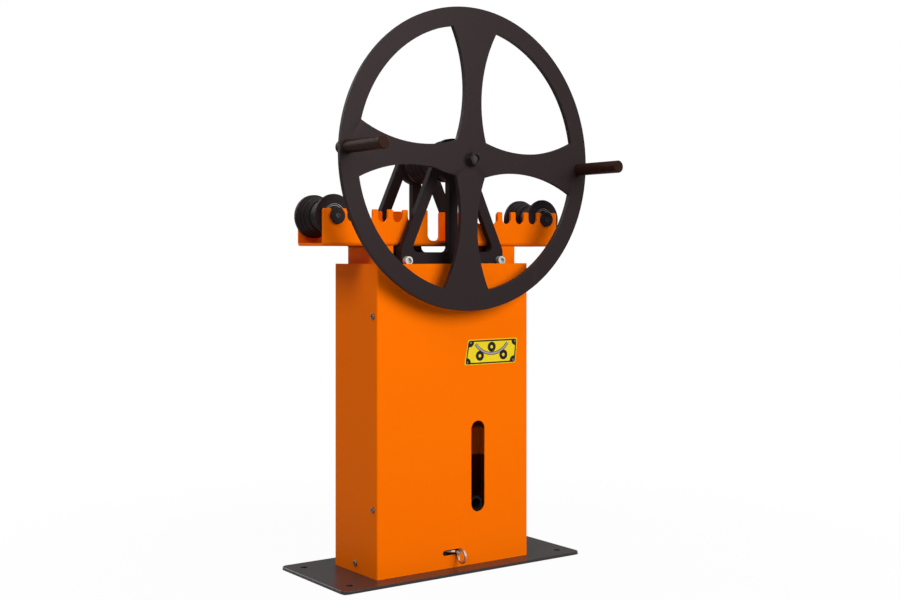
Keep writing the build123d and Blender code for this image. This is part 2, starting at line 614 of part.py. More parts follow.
def uprights():
    solids = []
    heights = (BASE_THICKNESS, BEAM_BOTTOM_Z - MOVING_GAP)
    for x_side in (-1, 1):
        for y_side in (-1, 1):
            x_span = [x_side * x for x in UPRIGHT_X]
            y_span = [y_side * y for y in UPRIGHT_Y]
            bar = block(x_span, y_span, heights)
            bar = chamfer(bar.edges().filter_by(Axis.Z), PLATE_EDGE)
            place = (x_side * FRAME_SCREW_X, FRAME_SCREW_Z)
            tip = PLATE_INNER_Y - FRAME_SCREW_GRIP - HOLE_SPARE
            depth = (y_side * (PLATE_INNER_Y + 1), y_side * tip)
            bar -= rod("Y", FRAME_SCREW_RADIUS + SEAT_GAP, depth, place)
            small = COVER_SCREW_HEIGHTS if y_side < 0 else REAR_SCREW_HEIGHTS
            tip = PLATE_INNER_Y + BRACKET_THICKNESS - SCREW_LENGTH - HOLE_SPARE
            for z in small:
                depth = (y_side * (PLATE_INNER_Y + 1), y_side * tip)
                bar -= rod("Y", SCREW_RADIUS + SEAT_GAP, depth, (x_side * FRAME_SCREW_X, z))
            solids.append(bar)
    return group(solids)


def guide_pads():
    solids = []
    for x_side in (-1, 1):
        for y_side in (-1, 1):
            for z in PAD_HEIGHTS:
                x_span = (x_side * FOOT_HALF_WIDTH, x_side * (COLUMN_INNER_X - FREE_GAP))
                y_span = [y_side * (UPRIGHT_Y[0] + PAD_INSET), y_side * (UPRIGHT_Y[1] - PAD_INSET)]
                pad = block(x_span, y_span, (z - PAD_HEIGHT / 2, z + PAD_HEIGHT / 2))
                solids.append(chamfer(pad.edges().filter_by(Axis.Y), PAD_EDGE))
    return group(solids)


# ---- bearings ---------------------------------------------------------------------------
def inner_race(bearing, centre_y, at):
    bore, _, width, inner, _, _ = bearing
    span = (centre_y - width / 2, centre_y + width / 2)
    return tube("Y", inner, bore + SEAT_GAP, span, at)


def outer_race(bearing, centre_y, at):
    """Outer race with its two shields."""
    _, outer, width, inner, raceway, _ = bearing
    low, high = centre_y - width / 2, centre_y + width / 2
    race = tube("Y", outer, raceway, (low, high), at)
    for start in (low + SHIELD_RECESS, high - SHIELD_RECESS - SHIELD_THICKNESS):
        span = (start, start + SHIELD_THICKNESS)
        race += tube("Y", raceway + SHIELD_LAP, inner + FREE_GAP, span, at)
    return race


def balls(bearing, centre_y, at):
    _, _, _, inner, raceway, count = bearing
    radius = (raceway - inner) / 2 - RUNNING_FIT
    pitch = (raceway + inner) / 2
    solids = []
    for index in range(count):
        turn = 2 * math.pi * index / count
        centre = (at[0] + pitch * math.cos(turn), centre_y, at[1] + pitch * math.sin(turn))
        solids.append(Pos(*centre) * Sphere(radius))
    return solids


# ---- rollers ----------------------------------------------------------------------------
def roller_rings(at):
    """Front flange, and the ring with a long grooved bevel at the back of one roller."""
    bore = SLEEVE_RADIUS + SEAT_GAP
    front = SLEEVE_FRONT_Y + FLANGE_SETBACK
    flange = tube("Y", FLANGE_RADIUS, bore, (front, front + FLANGE_WIDTH), at, SLEEVE_EDGE)
    back = SLEEVE_BACK_Y - BACK_RING_SETBACK
    seam = back - BACK_RING_WIDTH
    ring = rod("Y", BACK_RING_RADIUS, (seam, back), at, SLEEVE_EDGE)
    bevel = Rotation(90, 0, 0) * Cone(*CONE_RADII, CONE_LENGTH)
    ring += Pos(at[0], seam - CONE_LENGTH / 2, at[1]) * bevel
    wide, narrow = CONE_RADII
    for setback in CONE_GROOVES:
        floor = wide - (wide - narrow) * setback / CONE_LENGTH - CONE_GROOVE_DEPTH
        middle = seam - setback
        span = (middle - CONE_GROOVE_WIDTH / 2, middle + CONE_GROOVE_WIDTH / 2)
        ring -= tube("Y", BACK_RING_RADIUS, floor, span, at)
    ring -= rod("Y", bore, (seam - CONE_LENGTH - 1, back + 1), at)
    return group([flange, ring])


def side_sleeve(at):
    bore = SIDE_BEARING[4] + SHOULDER_CLEARANCE
    sleeve = tube("Y", SLEEVE_RADIUS, bore, (SLEEVE_FRONT_Y, SLEEVE_BACK_Y), at, SLEEVE_EDGE)
    half = SIDE_BEARING_Y - SIDE_BEARING[2] / 2
    for span in ((SLEEVE_FRONT_Y - 1, -half), (half, SLEEVE_BACK_Y + 1)):
        sleeve -= rod("Y", SIDE_BEARING[1] + SEAT_GAP, span, at)
    return sleeve


def side_axle(at):
    shoulder = SIDE_BEARING_Y - SIDE_BEARING[2] / 2
    axle = rod("Y", AXLE_SHOULDER_RADIUS, (-shoulder, shoulder), at)
    axle += rod("Y", SIDE_BEARING[0], (-AXLE_END_Y, AXLE_END_Y), at)
    for side in (-1, 1):
        depth = (side * (AXLE_END_Y + 1), side * (AXLE_END_Y - CAP_SCREW_LENGTH))
        axle -= rod("Y", CAP_SCREW_RADIUS + SEAT_GAP, depth, at)
    return axle


def axle_cap(side, at):
    """Cap whose spigot fills the notch and is screwed to the axle's end."""
    near = side * AXLE_END_Y
    head = side * (BEAM_HALF_DEPTH + AXLE_CAP_PROUD)
    far = head + side * AXLE_CAP_THICKNESS
    cap = rod("Y", AXLE_CAP_RADIUS, (head, far), at, TURNED_EDGE)
    cap += rod("Y", NOTCH_RADIUS - AXLE_CAP_PLAY, (near, head), at)
    seat = far - side * CAP_SCREW_HEAD_HEIGHT
    cap -= rod("Y", CAP_SCREW_HEAD_RADIUS + FREE_GAP, (seat, far + side), at)
    return cap - rod("Y", CAP_SCREW_RADIUS + SEAT_GAP, (near - side, far), at)


def axle_cap_screw(side, at):
    cap_face = BEAM_HALF_DEPTH + AXLE_CAP_PROUD + AXLE_CAP_THICKNESS
    seat = side * (cap_face - CAP_SCREW_HEAD_HEIGHT)
    return screw(
        "Y", seat, -side, CAP_SCREW_RADIUS, CAP_SCREW_HEAD_RADIUS, CAP_SCREW_HEAD_HEIGHT,
        CAP_SCREW_LENGTH, at, CAP_SCREW_RADIUS * SOCKET_SHARE,
    )


# ---- top shaft and handwheel ------------------------------------------------------------
def key(centre_y, length, clearance=0.0):
    """Square-ended key on top of the shaft; clearance turns it into its own cutter."""
    half = KEY_WIDTH / 2 + clearance
    bottom = SHAFT_Z + SHAFT_RADIUS - KEY_SEAT
    top = bottom + KEY_HEIGHT + 2 * clearance
    ends = (centre_y - length / 2 - clearance, centre_y + length / 2 + clearance)
    return block((-half, half), ends, (bottom, top))


def shaft_keys():
    solids = []
    for centre_y, length in KEYS:
        bar = key(centre_y, length)
        solids.append(chamfer(bar.edges().filter_by(Axis.Y), FINE_EDGE))
    return group(solids)


def roller_shaft():
    at = (0, SHAFT_Z)
    shoulder = WHEEL_BACK_Y + SHAFT_FRONT_GAP
    shaft = rod("Y", SHAFT_RADIUS, (shoulder, SHAFT_REAR_Y), at, TURNED_EDGE)
    stud = (WHEEL_FRONT_Y - STUD_LENGTH, shoulder + STUD_RADIUS)
    shaft += rod("Y", STUD_RADIUS, stud, at, TURNED_EDGE)
    for centre_y, length in KEYS:
        shaft -= key(centre_y, length)
    return shaft


def top_sleeve():
    at = (0, SHAFT_Z)
    bore = SHAFT_RADIUS + SEAT_GAP
    sleeve = tube("Y", SLEEVE_RADIUS, bore, (SLEEVE_FRONT_Y, SLEEVE_BACK_Y), at, SLEEVE_EDGE)
    return sleeve - key(KEYS[0][0], 3 * SLEEVE_KEY_LENGTH, SEAT_GAP)


def shaft_spacers():
    at = (0, SHAFT_Z)
    bore = SHAFT_RADIUS + SEAT_GAP
    inside, outside = SHAFT_BEARING_Y - SHAFT_BEARING[2] / 2, SHAFT_BEARING_Y + SHAFT_BEARING[2] / 2
    spans = ((-inside, SLEEVE_FRONT_Y), (SLEEVE_BACK_Y, inside), (HUB_BACK_Y, -outside))
    solids = [tube("Y", SPACER_RADIUS, bore, span, at, SMALL_EDGE) for span in spans]
    collar_span = (outside, outside + REAR_COLLAR_WIDTH)
    collar = tube("Y", REAR_COLLAR_RADIUS, bore, collar_span, at, TURNED_EDGE)
    middle = outside + REAR_COLLAR_WIDTH / 2
    collar -= rod("Z", GRUB_RADIUS, (SHAFT_Z, SHAFT_Z + REAR_COLLAR_RADIUS + 1), (0, middle))
    solids.append(collar)
    return group(solids)


def wheel_hub():
    at = (0, SHAFT_Z)
    span = (WHEEL_BACK_Y, HUB_BACK_Y)
    hub = tube("Y", WHEEL_HUB_RADIUS, SHAFT_RADIUS + SEAT_GAP, span, at, TURNED_EDGE)
    return hub - key(KEYS[1][0], 3 * HUB_KEY_LENGTH, SEAT_GAP)


def handwheel():
    """Four-spoked wheel cut from plate."""
    rim_along = math.sqrt(RIM_INNER_RADIUS ** 2 - SPOKE_END_HALF ** 2)
    diagonal = RIM_INNER_RADIUS / math.sqrt(2)
    hub = (HUB_CORNER_HALF, HUB_CORNER_HALF)
    high, low = (SPOKE_END_HALF, rim_along), (rim_along, SPOKE_END_HALF)
    edges = [
        ThreePointArc(hub, (SPOKE_WAIST_HALF, SPOKE_WAIST_RADIUS), high),
        ThreePointArc(high, (diagonal, diagonal), low),
        ThreePointArc(low, (SPOKE_WAIST_RADIUS, SPOKE_WAIST_HALF), hub),
    ]
    window = make_face(edges)
    face = Circle(WHEEL_RADIUS) - Circle(STUD_RADIUS + SEAT_GAP)
    for quarter in range(4):
        face -= Rotation(0, 0, 90 * quarter) * window
    wheel = plate_xz(Pos(0, SHAFT_Z) * Rotation(0, 0, -WHEEL_TURN) * face, WHEEL_FRONT_Y, WHEEL_BACK_Y)
    circles = wheel.edges().filter_by(GeomType.CIRCLE)
    rims = circles.filter_by(lambda edge: abs(edge.radius - WHEEL_RADIUS) < WHEEL_EDGE)
    wheel = chamfer(rims, WHEEL_EDGE)
    for at in HANDLE_PLACES:
        wheel -= rod("Y", HANDLE_RADIUS + SEAT_GAP, (WHEEL_FRONT_Y - 1, WHEEL_BACK_Y + 1), at)
    return wheel


def wheel_handles():
    span = (WHEEL_FRONT_Y - HANDLE_LENGTH, WHEEL_BACK_Y + HANDLE_TAIL)
    return group([rod("Y", HANDLE_RADIUS, span, at, HANDLE_CHAMFER) for at in HANDLE_PLACES])


def wheel_washer():
    span = (WHEEL_FRONT_Y - WASHER_THICKNESS, WHEEL_FRONT_Y)
    return tube("Y", WASHER_RADIUS, STUD_RADIUS + SEAT_GAP, span, (0, SHAFT_Z), FINE_EDGE)


def wheel_nut():
    at = (0, SHAFT_Z)
    seat = WHEEL_FRONT_Y - WASHER_THICKNESS
    front = seat - NUT_HEIGHT
    nut = hex_prism_y(NUT_ACROSS_FLATS, (front, seat), at)
    point = NUT_ACROSS_FLATS / math.sqrt(3)
    nut &= rod("Y", point, (front, seat), at, NUT_EDGE)
    return nut - rod("Y", STUD_RADIUS + SEAT_GAP, (front - 1, seat + 1), at)


# ---- carriage ---------------------------------------------------------------------------
def beam():
    """Channel with notched walls, open upwards."""
    half = BEAM_LENGTH / 2
    side_view = Pos(0, (BEAM_BOTTOM_Z + BEAM_TOP_Z) / 2) * Rectangle(BEAM_LENGTH, BEAM_HEIGHT)
    slot_height = 2 * CENTRE_SLOT_DEPTH
    slot = Pos(0, BEAM_TOP_Z) * RectangleRounded(CENTRE_SLOT_WIDTH, slot_height, CENTRE_SLOT_CORNER)
    side_view -= slot
    for index in range(NOTCH_COUNT):
        for side in (-1, 1):
            x = side * (AXLE_X - index * NOTCH_PITCH)
            side_view -= Pos(x, NOTCH_CENTRE_Z) * Circle(NOTCH_RADIUS)
            mouth = Rectangle(2 * NOTCH_RADIUS, 2 * NOTCH_DEPTH)
            side_view -= Pos(x, NOTCH_CENTRE_Z + NOTCH_DEPTH) * mouth
    tops = side_view.vertices().group_by(Axis.Y)[-1]
    lips = [corner for corner in tops if abs(abs(corner.X) - half) >= 1]
    side_view = fillet(lips, NOTCH_LIP)
    corners = [corner for corner in side_view.vertices() if abs(corner.Y - BEAM_TOP_Z) < 0.01]
    side_view = fillet([c for c in corners if abs(abs(c.X) - half) < 0.01], BEAM_END_CORNER)
    silhouette = plate_xz(side_view, -BEAM_HALF_DEPTH, BEAM_HALF_DEPTH)
    heights = (BEAM_BOTTOM_Z, BEAM_TOP_Z)
    channel = block((-half, half), (-BEAM_HALF_DEPTH, BEAM_HALF_DEPTH), heights)
    channel = fillet(channel.edges().filter_by(Axis.X).group_by(Axis.Z)[0], BEAM_BEND)
    wall = BEAM_HALF_DEPTH - BEAM_WALL
    trough = block((-half - 1, half + 1), (-wall, wall), (BEAM_BOTTOM_Z + BEAM_WALL, BEAM_TOP_Z + 1))
    trough = fillet(trough.edges().filter_by(Axis.X).group_by(Axis.Z)[0], BEAM_BEND - BEAM_WALL)
    return silhouette & (channel - trough)


def column(side):
    x_span = (side * COLUMN_INNER_X, side * COLUMN_OUTER_X)
    half_depth = COLUMN_DEPTH / 2
    outer = block(x_span, (-half_depth, half_depth), (CROSSHEAD_BOTTOM_Z, BEAM_BOTTOM_Z))
    outer = fillet(outer.edges().filter_by(Axis.Z), COLUMN_CORNER)
    hollow_x = (side * (COLUMN_INNER_X + COLUMN_WALL), side * (COLUMN_OUTER_X - COLUMN_WALL))
    hollow_y = (-half_depth + COLUMN_WALL, half_depth - COLUMN_WALL)
    hollow = block(hollow_x, hollow_y, (CROSSHEAD_BOTTOM_Z - 1, BEAM_BOTTOM_Z + 1))
    return outer - fillet(hollow.edges().filter_by(Axis.Z), COLUMN_CORNER - COLUMN_WALL)


def crosshead():
    """Box between the columns, with cheeks that run beside the uprights."""
    half_depth = UPRIGHT_Y[0] - MOVING_GAP
    heights = (CROSSHEAD_BOTTOM_Z, CROSSHEAD_TOP_Z)
    span = (-COLUMN_INNER_X, COLUMN_INNER_X)
    head = block(span, (-half_depth, half_depth), heights)
    cheek = UPRIGHT_X[0] - MOVING_GAP
    for side in (-1, 1):
        x_span = (side * (cheek - CHEEK_THICKNESS), side * cheek)
        plate = block(x_span, (-PLATE_INNER_Y, PLATE_INNER_Y), heights)
        head += chamfer(plate.edges().filter_by(Axis.X), CHEEK_CORNER)
    inside = half_depth - CROSSHEAD_WALL
    hollow = (CROSSHEAD_BOTTOM_Z + CROSSHEAD_WALL, CROSSHEAD_TOP_Z - CROSSHEAD_WALL)
    return head - block((span[0] - 1, span[1] + 1), (-inside, inside), hollow)


def spring_studs(bottom, top):
    solids = []
    for x in (-SPRING_X, SPRING_X):
        solids.append(rod("Z", SPRING_STUD_RADIUS, (bottom, top), (x, 0), TURNED_EDGE))
    return group(solids)


def return_spring(side):
    low = BASE_THICKNESS + SPRING_WIRE + SPRING_END_GAP
    high = CROSSHEAD_BOTTOM_Z - SPRING_WIRE - SPRING_END_GAP
    height = high - low
    path = Helix(height / SPRING_TURNS, height, SPRING_RADIUS)
    section = Plane(path @ 0, z_dir=path % 0) * Circle(SPRING_WIRE)
    coil = sweep(section, path=path, is_frenet=True)
    return Pos(side * SPRING_X, 0, low) * coil


# ---- jack -------------------------------------------------------------------------------
def jack_base():
    base = block(JACK_BASE_X, JACK_BASE_Y, (BASE_THICKNESS, JACK_TOP_Z))
    base = fillet(base.edges().filter_by(Axis.Z), JACK_BASE_CORNER)
    base = fillet(base.faces().sort_by(Axis.Z)[-1].edges(), JACK_BASE_EDGE)
    for at in JACK_SCREWS:
        base -= rod("Z", JACK_SCREW_RADIUS + SEAT_GAP, (0, JACK_TOP_Z + 1), at)
    return base


def jack_screws():
    solids = []
    for at in JACK_SCREWS:
        length = JACK_TOP_Z - TIP_GAP
        solids.append(screw(
            "Z", JACK_TOP_Z, -1, JACK_SCREW_RADIUS, JACK_SCREW_HEAD_RADIUS,
            JACK_SCREW_HEAD_HEIGHT, length, at, JACK_SCREW_RADIUS * SOCKET_SHARE,
        ))
    return group(solids)


def jack_reservoir():
    inner = RESERVOIR_RADIUS - RESERVOIR_WALL
    return tube("Z", RESERVOIR_RADIUS, inner, (JACK_TOP_Z, CYLINDER_TOP_Z), (0, 0))


def jack_cylinder():
    bore = RAM_RADIUS + RUNNING_FIT
    return tube("Z", CYLINDER_RADIUS, bore, (JACK_TOP_Z, CYLINDER_TOP_Z), (0, 0))


def jack_top_cap():
    bore = RAM_RADIUS + RUNNING_FIT
    span = (CYLINDER_TOP_Z, CYLINDER_TOP_Z + TOP_CAP_HEIGHT)
    cap = tube("Z", RESERVOIR_RADIUS, bore, span, (0, 0), BROAD_EDGE)
    for index in range(SPANNER_NOTCHES):
        turn = 2 * math.pi * (index + 0.5) / SPANNER_NOTCHES
        at = (RESERVOIR_RADIUS * math.cos(turn), RESERVOIR_RADIUS * math.sin(turn))
        depth = (CYLINDER_TOP_Z + SPANNER_NOTCH_FLOOR, span[1] + 1)
        cap -= rod("Z", SPANNER_NOTCH_RADIUS, depth, at)
    return cap


def jack_ram():
    top = CROSSHEAD_BOTTOM_Z - SADDLE_HEIGHT
    ram = rod("Z", RAM_RADIUS, (RAM_BOTTOM_Z, top), (0, 0), TURNED_EDGE)
    depth = (top - SADDLE_SCREW_LENGTH - HOLE_SPARE, top + 1)
    return ram - rod("Z", SADDLE_SCREW_RADIUS + SEAT_GAP, depth, (0, 0))


def jack_saddle():
    bottom = CROSSHEAD_BOTTOM_Z - SADDLE_HEIGHT
    saddle = rod("Z", SADDLE_RADIUS, (bottom, CROSSHEAD_BOTTOM_Z), (0, 0), BROAD_EDGE)
    return saddle + rod("Z", SADDLE_SCREW_RADIUS, (bottom - SADDLE_SCREW_LENGTH, bottom + 1), (0, 0))


def pump_barrel():
    at = (PUMP_X, PUMP_Y)
    top = JACK_TOP_Z + BARREL_HEIGHT
    bore = PLUNGER_RADIUS + RUNNING_FIT
    barrel = tube("Z", BARREL_RADIUS, bore, (JACK_TOP_Z, top), at, TURNED_EDGE)
    groove_span = [top - depth for depth in BARREL_GROOVE]
    groove = tube("Z", BARREL_RADIUS + 1, BARREL_RADIUS - BARREL_GROOVE_DEPTH, groove_span, at)
    return barrel - groove


def fulcrum_post():
    x_span = (PUMP_X - POST_WIDTH / 2, PUMP_X + POST_WIDTH / 2)
    y_span = (FULCRUM_Y - POST_DEPTH / 2, FULCRUM_Y + POST_DEPTH / 2)
    post = block(x_span, y_span, (JACK_TOP_Z, PUMP_PIN_Z + POST_TOP))
    post = fillet(post.edges().filter_by(Axis.X).group_by(Axis.Z)[-1], POST_ROUND)
    through = (x_span[0] - 1, x_span[1] + 1)
    return post - rod("X", PIN_RADIUS + SEAT_GAP, through, (FULCRUM_Y, PUMP_PIN_Z))


def fulcrum_pin():
    half = FORK_OUTER + PIN_PROUD
    span = (PUMP_X - half, PUMP_X + half)
    return rod("X", PIN_RADIUS, span, (FULCRUM_Y, PUMP_PIN_Z), SMALL_EDGE)


def lever_socket():
    """Two cheeks, a bridge and a short tube that takes the pump lever."""
    bridge_y = (FULCRUM_Y - FORK_REACH - FORK_BRIDGE, FULCRUM_Y - FORK_REACH)
    heights = (PUMP_PIN_Z - FORK_HALF_HEIGHT, PUMP_PIN_Z + FORK_HALF_HEIGHT)
    fork = block((PUMP_X - FORK_OUTER, PUMP_X + FORK_OUTER), bridge_y, heights)
    tube_span = (SOCKET_MOUTH_Y, bridge_y[0])
    fork += rod("Y", SOCKET_RADIUS, tube_span, (PUMP_X, PUMP_PIN_Z))
    middle = (bridge_y[1], FULCRUM_Y)
    for side in (-1, 1):
        x_span = (PUMP_X + side * FORK_INNER, PUMP_X + side * FORK_OUTER)
        cheek = block(x_span, middle, heights)
        cheek += rod("X", FORK_HALF_HEIGHT, x_span, (FULCRUM_Y, PUMP_PIN_Z))
        fork += cheek
    through = (PUMP_X - FORK_OUTER - 1, PUMP_X + FORK_OUTER + 1)
    fork -= rod("X", PIN_RADIUS + RUNNING_FIT, through, (FULCRUM_Y, PUMP_PIN_Z))
    near = PUMP_ARM
    far = PUMP_ARM / math.cos(math.radians(PUMP_SWING))
    ends = (FULCRUM_Y - far, FULCRUM_Y - near)
    window = block(through, ends, (PUMP_PIN_Z - FORK_WINDOW_HALF, PUMP_PIN_Z + FORK_WINDOW_HALF))
    for y in ends:
        window += rod("X", FORK_WINDOW_HALF, through, (y, PUMP_PIN_Z))
    fork -= window
    return fork - rod("Y", SOCKET_BORE, (SOCKET_MOUTH_Y - 1, bridge_y[1] + 1), (PUMP_X, PUMP_PIN_Z))


def pump_plunger():
    heights = (PLUNGER_BOTTOM_Z, PUMP_PIN_Z + PLUNGER_TOP)
    plunger = rod("Z", PLUNGER_RADIUS, heights, (PUMP_X, PUMP_Y), SMALL_EDGE)
    half = FORK_OUTER + PIN_PROUD
    span = (PUMP_X - half, PUMP_X + half)
    return plunger + rod("X", PIN_RADIUS, span, (PUMP_Y, PUMP_PIN_Z), SMALL_EDGE)


# ---- release valve ----------------------------------------------------------------------
def valve_body():
    x_span = (VALVE_X - VALVE_BODY_WIDTH / 2, VALVE_X + VALVE_BODY_WIDTH / 2)
    y_span = (VALVE_Y - VALVE_BODY_REACH, JACK_BASE_Y[0])
    body = block(x_span, y_span, (VALVE_BODY_BOTTOM, VALVE_BODY_TOP))
    body = fillet(body.edges().filter_by(Axis.Z).group_by(Axis.Y)[0], VALVE_BODY_CORNER)
    depth = (VALVE_BODY_BOTTOM + VALVE_BORE_FLOOR, VALVE_BODY_TOP + 1)
    return body - rod("Z", VALVE_PIN_RADIUS + RUNNING_FIT, depth, (VALVE_X, VALVE_Y))


def release_lever():
    """Valve spindle, hub, rod and eye."""
    at = (VALVE_X, VALVE_Y)
    half = RELEASE_HUB_HEIGHT / 2
    lever = rod("Z", RELEASE_HUB_RADIUS, (RELEASE_Z - half, RELEASE_Z + half), at, SMALL_EDGE)
    tip = VALVE_BODY_BOTTOM + VALVE_BORE_FLOOR + VALVE_PIN_LIFT
    lever += rod("Z", VALVE_PIN_RADIUS, (tip, RELEASE_Z), at)
    bar = rod("X", RELEASE_ROD_RADIUS, (0, RELEASE_ROD_LENGTH), (0, 0))
    lever += Pos(VALVE_X, VALVE_Y, RELEASE_Z) * Rotation(0, 0, RELEASE_ANGLE) * bar
    eye_half = EYE_THICKNESS / 2
    eye = (RELEASE_Z - eye_half, RELEASE_Z + eye_half)
    lever += rod("Z", EYE_RADIUS, eye, EYE_PLACE, SMALL_EDGE)
    through = (RELEASE_Z - EYE_THICKNESS, RELEASE_Z + EYE_THICKNESS)
    return lever - rod("Z", EYE_HOLE, through, EYE_PLACE)


def pull_ring():
    """Split ring that hangs from the eye."""
    ring = Rotation(0, 90, 0) * Torus(PULL_RING_RADIUS, PULL_RING_WIRE)
    outer = PULL_RING_RADIUS + PULL_RING_WIRE
    width, depth = PULL_RING_SEAM
    ring -= tube("X", outer + 1, outer - depth, (-width / 2, width / 2), (0, 0))
    drop = math.radians(PULL_RING_DROP)
    centre_y = EYE_PLACE[1] - PULL_RING_RADIUS * math.cos(drop)
    centre_z = RELEASE_Z - PULL_RING_RADIUS * math.sin(drop)
    return Pos(EYE_PLACE[0], centre_y, centre_z) * ring


# ---- the machine ------------------------------------------------------------------------
def standing_parts():
    """Base, casing, jack base, pump and release valve."""
    return {
        "base_plate": base_plate(),
        "casing_cover": casing_cover(),
        "rear_cover": rear_cover(),
        "cover_brackets": cover_brackets(),
        "cover_standoffs": cover_standoffs(),
        "cover_screws": cover_screws(),
        "badge_plate": badge_plate(),
        "badge_rivets": badge_rivets(),
        "jack_base": jack_base(),
        "jack_screws": jack_screws(),
        "pump_barrel": pump_barrel(),
        "fulcrum_post": fulcrum_post(),
        "fulcrum_pin": fulcrum_pin(),
        "lever_socket": lever_socket(),
        "pump_plunger": pump_plunger(),
        "valve_body": valve_body(),
        "release_lever": release_lever(),
        "pull_ring": pull_ring(),
    }


def frame_parts():
    """Everything that is placed from the frame's centre plane."""
    top = (0, SHAFT_Z)
    shaft_bearings = (-SHAFT_BEARING_Y, SHAFT_BEARING_Y)
    side_bearings = (-SIDE_BEARING_Y, SIDE_BEARING_Y)
    axles = [(side * AXLE_X, NOTCH_CENTRE_Z) for side in (-1, 1)]
    lower_studs = (BASE_THICKNESS, BASE_THICKNESS + SPRING_STUD_LENGTH)
    upper_studs = (CROSSHEAD_BOTTOM_Z - SPRING_STUD_LENGTH, CROSSHEAD_BOTTOM_Z)
    parts = {
        "front_a_plate": a_plate(-1),
        "rear_a_plate": a_plate(1),
        "a_plate_screws": a_plate_screws(),
        "uprights": uprights(),
        "guide_pads": guide_pads(),
        "shaft_outer_races": group([outer_race(SHAFT_BEARING, y, top) for y in shaft_bearings]),
        "roller_shaft": roller_shaft(),
        "shaft_keys": shaft_keys(),
        "shaft_spacers": shaft_spacers(),
        "shaft_inner_races": group([inner_race(SHAFT_BEARING, y, top) for y in shaft_bearings]),
        "shaft_balls": group(sum([balls(SHAFT_BEARING, y, top) for y in shaft_bearings], [])),
        "top_sleeve": top_sleeve(),
        "top_rings": roller_rings(top),
        "wheel_hub": wheel_hub(),
        "handwheel": handwheel(),
        "wheel_handles": wheel_handles(),
        "wheel_washer": wheel_washer(),
        "wheel_nut": wheel_nut(),
        "beam": beam(),
        "left_column": column(-1),
        "right_column": column(1),
        "crosshead": crosshead(),
        "lower_spring_studs": spring_studs(*lower_studs),
        "upper_spring_studs": spring_studs(*upper_studs),
        "side_axles": group([side_axle(at) for at in axles]),
        "axle_caps": group([axle_cap(side, at) for at in axles for side in (-1, 1)]),
        "axle_cap_screws": group([axle_cap_screw(side, at) for at in axles for side in (-1, 1)]),
        "side_inner_races": group([
            inner_race(SIDE_BEARING, y, at) for at in axles for y in side_bearings
        ]),
        "side_balls": group(sum([
            balls(SIDE_BEARING, y, at) for at in axles for y in side_bearings
        ], [])),
        "jack_reservoir": jack_reservoir(),
        "jack_cylinder": jack_cylinder(),
        "jack_top_cap": jack_top_cap(),
        "jack_ram": jack_ram(),
        "jack_saddle": jack_saddle(),
    }
    for (side, sign), at in zip(SIDES, axles):
        parts[side + "_return_spring"] = return_spring(sign)
        parts[side + "_roller_sleeve"] = side_sleeve(at)
        parts[side + "_roller_rings"] = roller_rings(at)
        races = [outer_race(SIDE_BEARING, y, at) for y in side_bearings]
        parts[side + "_outer_races"] = group(races)
    return parts


def in_place(part):
    """Move a part of the frame from its centre plane's coordinates to the origin's."""
    solids = [Pos(0, FRAME_Y, 0) * solid for solid in part.solids()]
    return group(solids) if len(solids) > 1 else solids[0]


def machine():
    parts = standing_parts()
    for name, part in frame_parts().items():
        parts[name] = in_place(part)
    return parts


os.makedirs("parts", exist_ok=True)
for name, part in machine().items():
    export_step(part, "parts/" + name + ".step")
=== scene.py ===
import json
import math

import bmesh
import bpy
from mathutils import Euler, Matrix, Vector

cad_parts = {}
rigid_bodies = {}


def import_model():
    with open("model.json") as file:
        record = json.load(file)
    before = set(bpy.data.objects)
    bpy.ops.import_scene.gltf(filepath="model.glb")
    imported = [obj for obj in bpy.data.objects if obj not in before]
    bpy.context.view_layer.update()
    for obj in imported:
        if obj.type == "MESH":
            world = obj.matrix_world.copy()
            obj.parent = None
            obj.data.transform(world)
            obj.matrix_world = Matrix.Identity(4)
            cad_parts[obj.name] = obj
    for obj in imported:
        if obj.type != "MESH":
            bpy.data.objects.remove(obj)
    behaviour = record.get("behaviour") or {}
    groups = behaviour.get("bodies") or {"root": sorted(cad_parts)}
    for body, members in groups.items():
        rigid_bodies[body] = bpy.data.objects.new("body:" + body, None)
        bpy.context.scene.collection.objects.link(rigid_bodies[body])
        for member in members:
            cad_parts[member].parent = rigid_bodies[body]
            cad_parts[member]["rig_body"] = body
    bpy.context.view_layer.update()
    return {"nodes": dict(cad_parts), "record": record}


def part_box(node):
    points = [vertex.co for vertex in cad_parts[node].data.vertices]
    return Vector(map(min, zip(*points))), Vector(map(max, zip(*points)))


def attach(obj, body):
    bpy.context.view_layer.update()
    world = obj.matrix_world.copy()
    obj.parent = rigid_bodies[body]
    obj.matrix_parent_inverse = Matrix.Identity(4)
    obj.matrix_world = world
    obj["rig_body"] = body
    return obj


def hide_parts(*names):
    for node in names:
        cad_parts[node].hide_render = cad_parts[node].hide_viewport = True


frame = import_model()

MM = 0.001

# Colours are linear red, green and blue.
ORANGE = (0.92, 0.155, 0.0004)
ORANGE_WORN = (0.96, 0.19, 0.003)
# Painted shade: orange darkened for the welds at the column tops, standing in for the dark gap
# under the beam.
ORANGE_PAINTED_SHADE = (0.34, 0.055, 0.0004)
# Painted light: a paler, brighter orange for the crosshead, which shows only through the casing's
# slot.
ORANGE_PAINTED_LIGHT = (1.0, 0.30, 0.006)
ORANGE_MIRRORED = (1.0, 0.42, 0.05)
BLACK_PAINT = (0.020, 0.0135, 0.0145)
BLACK_PAINT_WORN = (0.042, 0.030, 0.029)
HANDLE_BROWN = (0.020, 0.0080, 0.0055)
HANDLE_BROWN_WORN = (0.036, 0.018, 0.014)
